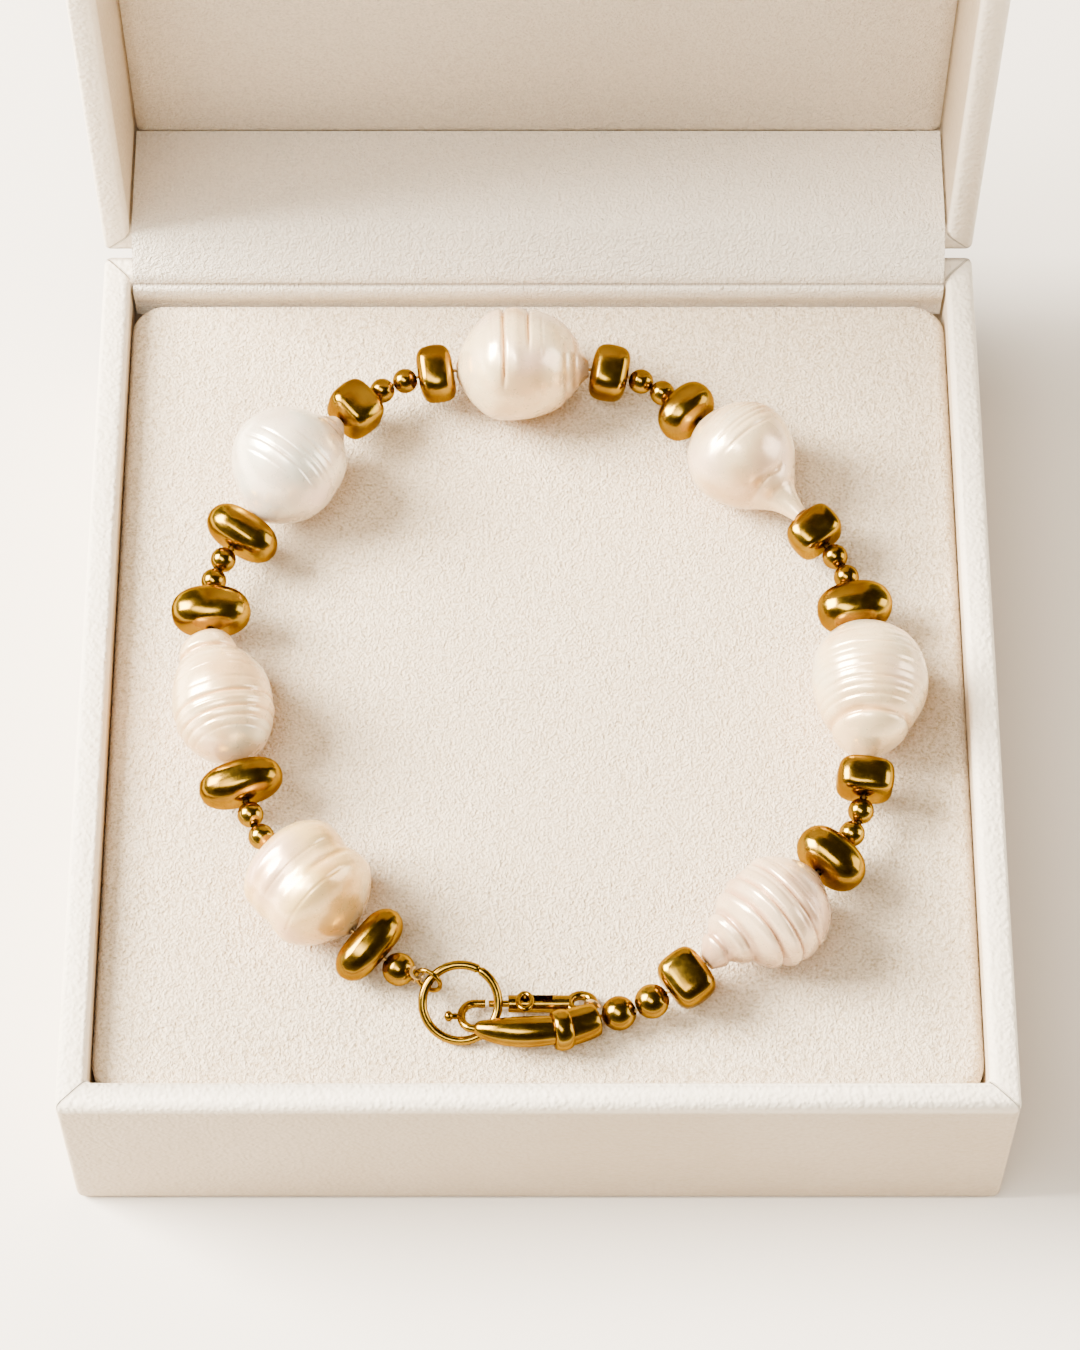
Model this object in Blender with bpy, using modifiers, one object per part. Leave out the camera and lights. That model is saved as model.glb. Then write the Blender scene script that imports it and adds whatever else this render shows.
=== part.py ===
"""Pearl and gold bead bracelet lying in its hinged box, in metres, +Z up.

The origin is the centre of the box's underside. +X runs to the right and +Y to the hinge at the back.
The bracelet lies as a closed loop on the box's pad, with its clasp at the front.
"""

import math
from collections import namedtuple

import bmesh
import bpy
from mathutils import Matrix, Vector

# Box
CASE_WIDTH = 0.0900
CASE_DEPTH = 0.0955
BASE_HEIGHT = 0.0225
LID_HEIGHT = 0.0156
WALL = 0.0028
FLOOR = 0.0025
ROOF = 0.0020
EDGE_ROUND = 0.0006
LINING = 0.0007
HINGE_GAP = 0.0005
PAD_DROP = 0.0028
PAD_ROUND = 0.0008
PAD_MARGIN = 0.0006
FIT = 0.0003

# String of beads
PEARL_SIZE = 0.0115
NUGGET_SIZE = 0.0074
SMALL_ROUND = 0.00245
LARGE_ROUND = 0.0032
BEAD_GAP = 0.00030
LEAD = 0.0004
BORE = 0.0008
WIRE = 0.00036
WIRE_SLACK = 0.00021

# Rings and clasp
LARGE_RING = 0.0080
LARGE_RING_WIRE = 0.00086
SMALL_RING = 0.0030
SMALL_RING_WIRE = 0.00045
CLASP_LENGTH = 0.0083
CLASP_WIDTH = 0.0036
LIMB_THICKNESS = 0.0023
HOOK_WIRE = 0.0008
COLLAR = 0.0037
EYE = 0.0030
EYE_WIRE = 0.00074
BOLT = 0.00066
BOLT_FIT = 0.00024
TUBE_WALL = 0.00026
BOLT_TRAVEL = 0.0019
THUMB_WIRE = 0.0005
THUMB_LOOP = 0.00108

# Places
PAD_TOP = BASE_HEIGHT - PAD_DROP
LOOP_DEPTH = 6.87 * PEARL_SIZE
FREE_DEPTH = CASE_DEPTH - 2 * WALL - LINING - FIT - LOOP_DEPTH
LOOP_FRONT = -CASE_DEPTH / 2 + WALL + FIT + 0.32 * FREE_DEPTH
CLASP_PLACE = Vector((0, LOOP_FRONT, PAD_TOP)) + CLASP_LENGTH * Vector((0.2700, 0.2173, 0.3036))
CLASP_ROLL = math.radians(-23.2)
EYE_PULL = math.radians(-25)
RING_PLACE = CLASP_PLACE + CLASP_LENGTH * Vector((-1.1520, 0.3449, -0.0241))
RING_TILT = math.radians(27.2)
RING_HOLD = math.radians(145)

# The string's route over the pad, from the clasp's tail to the small ring, through chosen points.
# Each has its place to the right of the middle, behind the loop's front and over the pad, all as
# shares of a pearl's size. The beads lie along its straight stretches.
STRING_ROUTE = [
    (0.5259, 0.3677, 0.130),
    (0.6605, 0.3337, 0.183),
    (0.9227, 0.4250, 0.235),
    (1.1739, 0.6061, 0.313),
    (1.9221, 1.1201, 0.452),
    (2.3666, 1.6250, 0.365),
    (2.6264, 1.9547, 0.330),
    (2.7094, 2.3442, 0.365),
    (2.7650, 3.1248, 0.452),
    (2.6930, 4.0017, 0.365),
    (2.5959, 4.4377, 0.330),
    (2.3815, 4.7574, 0.365),
    (1.7546, 5.4666, 0.452),
    (1.2866, 5.9906, 0.365),
    (0.9869, 6.2771, 0.330),
    (0.6206, 6.4067, 0.365),
    (-0.1456, 6.3901, 0.452),
    (-0.9110, 6.3884, 0.365),
    (-1.2780, 6.2771, 0.330),
    (-1.5981, 6.0255, 0.365),
    (-2.1569, 5.3379, 0.452),
    (-2.5364, 4.7458, 0.365),
    (-2.7438, 4.4070, 0.330),
    (-2.7908, 3.9677, 0.365),
    (-2.6303, 3.0683, 0.452),
    (-2.4511, 2.3076, 0.365),
    (-2.3040, 1.8941, 0.330),
    (-1.8000, 1.2987, 0.452),
    (-1.3782, 0.9075, 0.313),
    (-1.0307, 0.6808, 0.157),
]

# A pearl's outline is a list of stations from its first hole to its last: how far along it is, its
# radius as a share of half the pearl's width, and how far it leans to the loop's inside.
Station = namedtuple("Station", "along radius lean")

# Growth rings stand on an outline between two stations.
Rings = namedtuple("Rings", "start end count depth")

# length, width and height are shares of the nominal size.
Bead = namedtuple("Bead", "name kind length width height")

STRING = [
    Bead("large_round_1", "large_round", 1.00, 1.00, 1.00),
    Bead("large_round_2", "large_round", 1.00, 1.00, 1.00),
    Bead("nugget_01", "cube", 0.568, 0.72, 0.70),
    Bead("pearl_1", "spiral", 1.209, 0.90, 0.90),
    Bead("nugget_02", "pebble", 0.554, 0.97, 0.70),
    Bead("small_round_01", "small_round", 1.00, 1.00, 1.00),
    Bead("small_round_02", "small_round", 1.00, 1.00, 1.00),
    Bead("nugget_03", "cube", 0.507, 0.74, 0.70),
    Bead("pearl_2", "ringed_egg", 1.261, 0.97, 0.97),
    Bead("nugget_04", "pebble", 0.595, 1.00, 0.70),
    Bead("small_round_03", "small_round", 1.00, 1.00, 1.00),
    Bead("small_round_04", "small_round", 1.00, 1.00, 1.00),
    Bead("nugget_05", "cube", 0.514, 0.70, 0.66),
    Bead("pearl_3", "teardrop", 1.261, 0.95, 0.95),
    Bead("nugget_06", "pebble", 0.520, 0.86, 0.70),
    Bead("small_round_05", "small_round", 1.00, 1.00, 1.00),
    Bead("small_round_06", "small_round", 1.00, 1.00, 1.00),
    Bead("nugget_07", "cube", 0.507, 0.72, 0.73),
    Bead("pearl_4", "nosed", 1.165, 1.00, 1.00),
    Bead("nugget_08", "cube", 0.486, 0.74, 0.73),
    Bead("small_round_07", "small_round", 1.00, 1.00, 1.00),
    Bead("small_round_08", "small_round", 1.00, 1.00, 1.00),
    Bead("nugget_09", "cube", 0.581, 0.70, 0.68),
    Bead("pearl_5", "near_round", 1.183, 0.99, 0.99),
    Bead("nugget_10", "pebble", 0.527, 1.03, 0.70),
    Bead("small_round_09", "small_round", 1.00, 1.00, 1.00),
    Bead("small_round_10", "small_round", 1.00, 1.00, 1.00),
    Bead("nugget_11", "pebble", 0.595, 1.04, 0.70),
    Bead("pearl_6", "capped", 1.278, 0.86, 0.86),
    Bead("nugget_12", "pebble", 0.527, 1.10, 0.70),
    Bead("small_round_11", "small_round", 1.00, 1.00, 1.00),
    Bead("small_round_12", "small_round", 1.00, 1.00, 1.00),
    Bead("pearl_7", "potato", 1.035, 0.97, 0.97),
    Bead("nugget_13", "pebble", 0.500, 1.08, 0.70),
    Bead("large_round_3", "large_round", 0.96, 0.96, 0.96),
]

NOMINAL = {
    "small_round": SMALL_ROUND,
    "large_round": LARGE_ROUND,
    "cube": NUGGET_SIZE,
    "pebble": NUGGET_SIZE,
}

OUTLINES = {
    "cube": [
        Station(0.000, 0.42, 0.00),
        Station(0.030, 0.70, 0.00),
        Station(0.140, 0.92, 0.00),
        Station(0.320, 0.99, 0.00),
        Station(0.500, 1.00, 0.00),
        Station(0.680, 0.99, 0.00),
        Station(0.860, 0.92, 0.00),
        Station(0.970, 0.70, 0.00),
        Station(1.000, 0.42, 0.00),
    ],
    "pebble": [
        Station(0.000, 0.38, 0.00),
        Station(0.030, 0.58, 0.00),
        Station(0.120, 0.80, 0.00),
        Station(0.280, 0.96, 0.00),
        Station(0.500, 1.00, 0.00),
        Station(0.720, 0.96, 0.00),
        Station(0.880, 0.80, 0.00),
        Station(0.970, 0.58, 0.00),
        Station(1.000, 0.38, 0.00),
    ],
    "spiral": [
        Station(0.000, 0.16, 0.00),
        Station(0.045, 0.26, 0.03),
        Station(0.100, 0.36, 0.06),
        Station(0.150, 0.38, 0.06),
        Station(0.215, 0.52, 0.04),
        Station(0.300, 0.70, -0.06),
        Station(0.385, 0.87, -0.12),
        Station(0.484, 0.97, -0.16),
        Station(0.590, 1.00, -0.17),
        Station(0.730, 0.93, -0.15),
        Station(0.846, 0.72, -0.12),
        Station(0.917, 0.50, -0.06),
        Station(0.967, 0.28, 0.00),
        Station(1.000, 0.12, 0.00),
    ],
    "ringed_egg": [
        Station(0.000, 0.12, 0.00),
        Station(0.035, 0.28, 0.00),
        Station(0.080, 0.46, -0.03),
        Station(0.140, 0.62, -0.05),
        Station(0.210, 0.70, -0.07),
        Station(0.260, 0.80, -0.08),
        Station(0.360, 0.93, -0.10),
        Station(0.500, 1.00, -0.10),
        Station(0.630, 0.98, -0.10),
        Station(0.770, 0.88, -0.08),
        Station(0.880, 0.66, -0.05),
        Station(0.950, 0.42, -0.02),
        Station(0.980, 0.24, 0.00),
        Station(1.000, 0.12, 0.00),
    ],
    "teardrop": [
        Station(0.000, 0.15, 0.00),
        Station(0.080, 0.20, 0.00),
        Station(0.170, 0.30, 0.00),
        Station(0.260, 0.50, 0.00),
        Station(0.360, 0.75, 0.00),
        Station(0.470, 0.92, 0.00),
        Station(0.600, 1.00, 0.00),
        Station(0.730, 0.93, 0.00),
        Station(0.850, 0.72, 0.00),
        Station(0.930, 0.46, 0.00),
        Station(0.975, 0.25, 0.00),
        Station(1.000, 0.12, 0.00),
    ],
    "nosed": [
        Station(0.000, 0.14, 0.00),
        Station(0.045, 0.27, -0.02),
        Station(0.085, 0.43, -0.04),
        Station(0.200, 0.74, 0.00),
        Station(0.330, 0.90, 0.03),
        Station(0.450, 0.97, 0.05),
        Station(0.600, 1.00, 0.05),
        Station(0.740, 0.93, 0.05),
        Station(0.870, 0.68, 0.03),
        Station(0.945, 0.42, 0.00),
        Station(0.980, 0.25, 0.00),
        Station(1.000, 0.12, 0.00),
    ],
    "near_round": [
        Station(0.000, 0.14, 0.00),
        Station(0.060, 0.25, 0.00),
        Station(0.130, 0.42, -0.03),
        Station(0.220, 0.66, -0.05),
        Station(0.330, 0.86, -0.07),
        Station(0.450, 0.96, -0.08),
        Station(0.577, 1.00, -0.08),
        Station(0.720, 0.93, -0.07),
        Station(0.850, 0.70, -0.05),
        Station(0.935, 0.44, -0.02),
        Station(0.975, 0.26, 0.00),
        Station(1.000, 0.12, 0.00),
    ],
    "capped": [
        Station(0.000, 0.12, 0.00),
        Station(0.035, 0.30, -0.05),
        Station(0.090, 0.48, -0.11),
        Station(0.170, 0.58, -0.13),
        Station(0.220, 0.60, -0.12),
        Station(0.260, 0.70, -0.08),
        Station(0.340, 0.84, -0.05),
        Station(0.450, 0.95, -0.03),
        Station(0.580, 1.00, -0.03),
        Station(0.700, 0.97, -0.03),
        Station(0.820, 0.84, -0.02),
        Station(0.910, 0.62, 0.00),
        Station(0.960, 0.40, 0.00),
        Station(0.985, 0.24, 0.00),
        Station(1.000, 0.12, 0.00),
    ],
    "potato": [
        Station(0.000, 0.12, 0.00),
        Station(0.030, 0.28, 0.00),
        Station(0.070, 0.50, 0.00),
        Station(0.140, 0.76, -0.03),
        Station(0.250, 0.94, -0.05),
        Station(0.380, 0.98, -0.05),
        Station(0.500, 0.95, -0.04),
        Station(0.620, 0.98, -0.06),
        Station(0.750, 0.94, -0.05),
        Station(0.860, 0.72, -0.03),
        Station(0.930, 0.44, 0.00),
        Station(0.975, 0.22, 0.00),
        Station(1.000, 0.12, 0.00),
    ],
}

GROWTH = {
    "spiral": Rings(0.16, 0.64, 6, 0.045),
    "ringed_egg": Rings(0.23, 0.50, 3, 0.02),
    "capped": Rings(0.56, 0.86, 3, 0.02),
}

SQUARENESS = {"cube": 3.4, "pebble": 2.6}
SIDES = {"cube": 16, "pebble": 16, "small_round": 12, "large_round": 12, "spiral": 16}
PEARL_SIDES = 14
ROUND_STEPS = 7
ROUTE_STEPS = 60


def clear_scene():
    for found in list(bpy.data.objects):
        bpy.data.objects.remove(found, do_unlink=True)


def new_collection(name):
    made = bpy.data.collections.new(name)
    bpy.context.scene.collection.children.link(made)
    return made


def material(name, colour, roughness, metallic):
    made = bpy.data.materials.new(name)
    made.use_nodes = True
    surface = made.node_tree.nodes["Principled BSDF"]
    surface.inputs["Base Color"].default_value = (*colour, 1.0)
    surface.inputs["Roughness"].default_value = roughness
    surface.inputs["Metallic"].default_value = metallic
    return made


def finish(obj, collection, surface):
    for holder in list(obj.users_collection):
        holder.objects.unlink(obj)
    collection.objects.link(obj)
    obj.data.materials.clear()
    obj.data.materials.append(surface)
    if obj.type == "MESH":
        obj.data.shade_smooth()
        obj.data.set_sharp_from_angle(angle=math.radians(40))
    return obj


def object_from(name, mesh):
    made = bpy.data.objects.new(name, mesh)
    bpy.context.scene.collection.objects.link(made)
    return made


def block(name, low, high):
    """A box from one corner to the other, with its origin at its middle and its scale applied."""
    size = high - low
    grown = bmesh.new()
    bmesh.ops.create_cube(grown, size=1.0)
    bmesh.ops.scale(grown, verts=grown.verts, vec=size)
    mesh = bpy.data.meshes.new(name)
    grown.to_mesh(mesh)
    grown.free()
    made = object_from(name, mesh)
    made.location = (low + high) / 2
    return made


def rounded(obj, width, segments=2):
    bevel = obj.modifiers.new("rounded edges", "BEVEL")
    bevel.width = width
    bevel.segments = segments
    bevel.limit_method = "ANGLE"
    bevel.angle_limit = math.radians(40)
    return obj


def cut(obj, cutter, cutters):
    boolean = obj.modifiers.new("cut " + cutter.name, "BOOLEAN")
    boolean.operation = "DIFFERENCE"
    boolean.object = cutter
    cutter.hide_render = True
    cutter.display_type = "WIRE"
    for holder in list(cutter.users_collection):
        holder.objects.unlink(cutter)
    cutters.objects.link(cutter)


def evaluated_mesh(obj):
    """The object's shape with its modifiers or bevel, as a closed mesh in world space."""
    bpy.context.view_layer.update()
    graph = bpy.context.evaluated_depsgraph_get()
    mesh = bpy.data.meshes.new_from_object(obj.evaluated_get(graph))
    shape = bmesh.new()
    shape.from_mesh(mesh)
    bmesh.ops.transform(shape, matrix=obj.matrix_world, verts=shape.verts)
    bmesh.ops.remove_doubles(shape, verts=shape.verts, dist=1e-6)
    bmesh.ops.recalc_face_normals(shape, faces=shape.faces)
    shape.to_mesh(mesh)
    shape.free()
    bpy.data.objects.remove(obj, do_unlink=True)
    return mesh


def soldered(name, pieces, place):
    """Joins overlapping pieces into one solid, with its origin at place."""
    meshes = [evaluated_mesh(piece) for piece in pieces]
    whole = object_from(name, meshes[0])
    for mesh in meshes[1:]:
        other = object_from("joining", mesh)
        union = whole.modifiers.new("soldered", "BOOLEAN")
        union.operation = "UNION"
        union.object = other
        joined = evaluated_mesh(whole)
        bpy.data.objects.remove(other, do_unlink=True)
        whole = object_from(name, joined)
    whole.data.transform(place.inverted())
    whole.matrix_world = place
    return whole


def tube(name, points, radii, resolution=1, closed=False):
    """A wire through the points, as thick at each as its radius."""
    curve = bpy.data.curves.new(name, "CURVE")
    curve.dimensions = "3D"
    curve.fill_mode = "FULL"
    curve.bevel_depth = 1.0
    curve.bevel_resolution = resolution
    curve.use_fill_caps = not closed
    spline = curve.splines.new("POLY")
    spline.points.add(len(points) - 1)
    spline.use_cyclic_u = closed
    for point, place, radius in zip(spline.points, points, radii):
        point.co = (*place, 1.0)
        point.radius = radius
    return object_from(name, curve)


def circle(middle, radius, across, up, count, start=0.0, turn=math.tau):
    """Points round part of a circle in the plane of the two directions."""
    whole = abs(turn - math.tau) < 1e-6
    steps = count if whole else count - 1
    angles = [start + turn * step / steps for step in range(count)]
    return [middle + radius * (across * math.cos(a) + up * math.sin(a)) for a in angles]


def frame_along(direction, up=Vector((0, 0, 1))):
    """A turn whose X runs in the direction and whose Z is as near to up as it can be."""
    x = direction.normalized()
    y = up.cross(x).normalized()
    z = x.cross(y)
    return Matrix((x, y, z)).transposed()


def round_outline(mouth):
    """Stations of a ball between its bore's mouths, whose radius is a share of the ball's."""
    edge = math.asin(mouth)
    reach = math.cos(edge)
    turns = [edge + (math.pi - 2 * edge) * step / ROUND_STEPS for step in range(1, ROUND_STEPS)]
    return [Station((1 - math.cos(turn) / reach) / 2, math.sin(turn), 0.0) for turn in turns]


def radius_at(outline, along):
    """Radius and lean of an outline at a share of its length, read between its stations."""
    for before, after in zip(outline, outline[1:]):
        if along <= after.along:
            share = (along - before.along) / (after.along - before.along)
            radius = before.radius + share * (after.radius - before.radius)
            lean = before.lean + share * (after.lean - before.lean)
            return Station(along, radius, lean)
    return outline[-1]


def with_growth_rings(outline, rings):
    """The outline with a ridge and a groove for each growth ring."""
    pitch = (rings.end - rings.start) / rings.count
    outside = [s for s in outline if not rings.start <= s.along <= rings.end]
    ridges = []
    for ring in range(rings.count):
        for share, raised in ((0.1, 1.0), (0.6, 1.0), (0.95, -1.0)):
            station = radius_at(outline, rings.start + pitch * (ring + share))
            ridges.append(station._replace(radius=station.radius * (1 + raised * rings.depth)))
    return sorted(outside + ridges)


def size_of(bead):
    """Length from mouth to mouth of its bore, width and height."""
    nominal = NOMINAL.get(bead.kind, PEARL_SIZE)
    size = Vector((bead.length, bead.width, bead.height)) * nominal
    if bead.kind in ("small_round", "large_round"):
        size.x = math.sqrt(size.x**2 - BORE**2)
    return size


def outline_of(bead):
    if bead.kind in ("small_round", "large_round"):
        return round_outline(BORE / (bead.width * NOMINAL[bead.kind]))
    outline = OUTLINES[bead.kind]
    if bead.kind in GROWTH:
        return with_growth_rings(outline, GROWTH[bead.kind])
    return outline


def bead_mesh(bead):
    """A bored bead along X: its outline is turned round the bore, then squared and leaned."""
    size = size_of(bead)
    outline = outline_of(bead)
    sides = SIDES.get(bead.kind, PEARL_SIDES)
    half = size.x / 2
    bore = BORE / 2
    shape = bmesh.new()
    profile = [Vector((-half, 0, bore)), *(Vector(((s.along - 0.5) * size.x, 0, s.radius)) for s in outline)]
    profile.append(Vector((half, 0, bore)))
    corners = [shape.verts.new(point) for point in profile]
    edges = [shape.edges.new(pair) for pair in zip(corners, corners[1:])]
    edges.append(shape.edges.new((corners[-1], corners[0])))
    bmesh.ops.spin(
        shape,
        geom=corners + edges,
        axis=(1, 0, 0),
        cent=(0, 0, 0),
        steps=sides,
        angle=math.tau,
        use_merge=True,
    )
    bmesh.ops.remove_doubles(shape, verts=shape.verts, dist=1e-7)
    power = SQUARENESS.get(bead.kind, 2.0)
    for vertex in shape.verts:
        radius = math.hypot(vertex.co.y, vertex.co.z)
        if radius > bore * 1.01:
            side, rise = vertex.co.y / radius, vertex.co.z / radius
            squared = (abs(side) ** power + abs(rise) ** power) ** (-1 / power)
            lean = radius_at(outline, vertex.co.x / size.x + 0.5).lean
            vertex.co.y = (side * squared * radius + lean) * size.y / 2
            vertex.co.z = rise * squared * radius * size.z / 2
    bmesh.ops.recalc_face_normals(shape, faces=shape.faces)
    mesh = bpy.data.meshes.new(bead.name)
    shape.to_mesh(mesh)
    shape.free()
    return mesh


def seated(obj, floor):
    """Lifts a pearl's skin about its bore until it rests on the floor, leaving the bore's mouths."""
    widest = max(abs(vertex.co.z) for vertex in obj.data.vertices)
    for _ in range(3):
        lowest = min((obj.matrix_world @ vertex.co).z for vertex in obj.data.vertices)
        rise = floor - lowest
        for vertex in obj.data.vertices:
            share = max(0.0, math.hypot(vertex.co.y, vertex.co.z) - BORE / 2) / widest
            vertex.co.z += rise * min(1.0, share)


def next_along(route, start, stretch, length):
    """The first point of the route after start, on this stretch or a later one, that is length away."""
    corner = start
    while stretch < len(route) - 1:
        step = (route[stretch + 1] - corner) / ROUTE_STEPS
        for count in range(1, ROUTE_STEPS + 1):
            point = corner + step * count
            if (point - start).length >= length:
                return start + (point - start).normalized() * length, stretch
        stretch += 1
        corner = route[stretch]
    onward = (route[-1] - route[-2]).normalized()
    return start + onward * length, stretch - 1


def walk(route):
    """Both mouths of each bead's bore, laid end to end along the route."""
    point, stretch = route[0], 0
    mouths = []
    for bead in STRING:
        start = point
        stop, stretch = next_along(route, start, stretch, size_of(bead).x)
        mouths.append((start, stop))
        point, stretch = next_along(route, stop, stretch, BEAD_GAP)
    return mouths


def string_places():
    """Where each bead's bore starts and stops: the route is grown until the beads just fill it."""
    route = [Vector((0, LOOP_FRONT, 0)) + PEARL_SIZE * Vector(point) for point in STRING_ROUTE]
    whole = sum((b - a).length for a, b in zip(route, route[1:]))
    for _ in range(6):
        mouths = walk(route)
        onward = (route[-1] - route[-2]).normalized()
        growth = 1 + (mouths[-1][1] - route[-1]).dot(onward) / whole
        route = [Vector((point.x * growth, point.y * growth, point.z)) for point in route]
    lift = Vector((0, 0, PAD_TOP))
    return [(start + lift, stop + lift) for start, stop in mouths]


def hook_round(middle, radius, stem, along):
    """A wire's end bent round a ring's wire: it comes from the stem and stops just short of it."""
    back = stem - middle
    back = (back - along * back.dot(along)).normalized()
    side = along.cross(back).normalized()
    return circle(middle, radius, back, side, 12, math.radians(32), math.radians(296))


def make_string(parts, gold, nacre):
    places = string_places()
    for bead, (start, stop) in zip(STRING, places):
        obj = object_from(bead.name, bead_mesh(bead))
        middle = (start + stop) / 2
        obj.matrix_world = Matrix.Translation(middle) @ frame_along(stop - start).to_4x4()
        is_pearl = bead.name.startswith("pearl")
        if is_pearl:
            seated(obj, PAD_TOP + FIT)
        finish(obj, parts, nacre if is_pearl else gold)
    return places


def make_wire(places, first_hook, last_hook, parts, steel):
    first_start, first_stop = places[0]
    last_start, last_stop = places[-1]
    lead_in = first_start + (first_start - first_stop).normalized() * LEAD
    lead_out = last_stop + (last_stop - last_start).normalized() * LEAD
    points = [*first_hook, lead_in]
    for start, stop in places:
        points += [start, stop]
    points += [lead_out, *last_hook]
    wire = tube("stringing_wire", points, [WIRE / 2] * len(points))
    finish(wire, parts, steel)


def make_case(parts, cutters, cover, cloth):
    half_width, half_depth = CASE_WIDTH / 2, CASE_DEPTH / 2
    base = block("case_base", Vector((-half_width, -half_depth, 0)), Vector((half_width, half_depth, BASE_HEIGHT)))
    inside_width, inside_depth = half_width - WALL, half_depth - WALL
    hollow = block(
        "case_hollow",
        Vector((-inside_width, -inside_depth, FLOOR)),
        Vector((inside_width, inside_depth, BASE_HEIGHT + WALL)),
    )
    cut(base, hollow, cutters)
    finish(rounded(base, EDGE_ROUND), parts, cover)
    strip_face = inside_depth - FIT - LINING
    strip = block(
        "hinge_strip",
        Vector((FIT - inside_width, strip_face, PAD_TOP - PAD_DROP)),
        Vector((inside_width - FIT, inside_depth - FIT, BASE_HEIGHT)),
    )
    finish(strip, parts, cloth)
    pad = block(
        "case_pad",
        Vector((PAD_MARGIN - inside_width, PAD_MARGIN - inside_depth, FLOOR + FIT)),
        Vector((inside_width - PAD_MARGIN, strip_face - PAD_MARGIN, PAD_TOP)),
    )
    finish(rounded(pad, PAD_ROUND), parts, cloth)


def make_lid(parts, cutters, cover, cloth):
    """Modelled closed, about the hinge line, and turned open by the empty that carries it."""
    hinge = bpy.data.objects.new("lid_hinge", None)
    parts.objects.link(hinge)
    hinge.location = (0, CASE_DEPTH / 2, BASE_HEIGHT + HINGE_GAP / 2)
    hinge.rotation_euler.x = math.radians(-90)
    half_width = CASE_WIDTH / 2
    inside = half_width - WALL
    rim = HINGE_GAP / 2
    ceiling = rim + LID_HEIGHT - ROOF
    shell = block(
        "lid_shell",
        Vector((-half_width, -CASE_DEPTH, rim)),
        Vector((half_width, 0, rim + LID_HEIGHT)),
    )
    hollow = block(
        "lid_hollow",
        Vector((-inside, WALL - CASE_DEPTH, rim - WALL)),
        Vector((inside, -WALL, ceiling)),
    )
    cut(shell, hollow, cutters)
    rounded(shell, EDGE_ROUND)
    panel = block(
        "lid_panel",
        Vector((FIT - inside, WALL + FIT - CASE_DEPTH, ceiling - FIT - LINING)),
        Vector((inside - FIT, -WALL - FIT, ceiling - FIT)),
    )
    strip = block(
        "lid_hinge_strip",
        Vector((FIT - inside, -WALL - FIT - LINING, rim)),
        Vector((inside - FIT, -WALL - FIT, ceiling - LINING - 2 * FIT)),
    )
    for obj, surface in ((shell, cover), (panel, cloth), (strip, cloth)):
        finish(obj, parts, surface)
        obj.parent = hinge
    hollow.parent = hinge


def make_rings(parts, gold):
    """The large ring passes over the clasp's bolt and under its limb. The small one holds it."""
    across = Vector((1, 0, 0))
    up = Vector((0, math.cos(RING_TILT), math.sin(RING_TILT)))
    large_radius = (LARGE_RING - LARGE_RING_WIRE) / 2
    points = circle(RING_PLACE, large_radius, across, up, 32)
    large = tube("large_jump_ring", points, [LARGE_RING_WIRE / 2] * 32, closed=True)
    finish(large, parts, gold)
    held = RING_PLACE + large_radius * (across * math.cos(RING_HOLD) + up * math.sin(RING_HOLD))
    tangent = (up * math.cos(RING_HOLD) - across * math.sin(RING_HOLD)).normalized()
    outward = (held - RING_PLACE).normalized()
    facing = across.cross(up)
    normal = (tangent + 0.75 * facing).normalized()
    small_radius = (SMALL_RING - SMALL_RING_WIRE) / 2
    pull = (outward - normal * outward.dot(normal)).normalized()
    side = normal.cross(pull)
    middle = held + pull * 0.04 * SMALL_RING
    points = circle(middle, small_radius, pull, side, 20)
    small = tube("small_jump_ring", points, [SMALL_RING_WIRE / 2] * 20, closed=True)
    finish(small, parts, gold)
    return middle + pull * small_radius, side


def turned(name, profile, sides, place):
    """A solid turned about X from (along, radius) points that start and end on the axis."""
    shape = bmesh.new()
    corners = [shape.verts.new((along, 0, radius)) for along, radius in profile]
    edges = [shape.edges.new(pair) for pair in zip(corners, corners[1:])]
    bmesh.ops.spin(
        shape,
        geom=corners + edges,
        axis=(1, 0, 0),
        cent=(0, 0, 0),
        steps=sides,
        angle=math.tau,
        use_merge=True,
    )
    bmesh.ops.remove_doubles(shape, verts=shape.verts, dist=1e-7)
    bmesh.ops.recalc_face_normals(shape, faces=shape.faces)
    mesh = bpy.data.meshes.new(name)
    shape.to_mesh(mesh)
    shape.free()
    made = object_from(name, mesh)
    made.matrix_world = place
    return made


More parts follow.
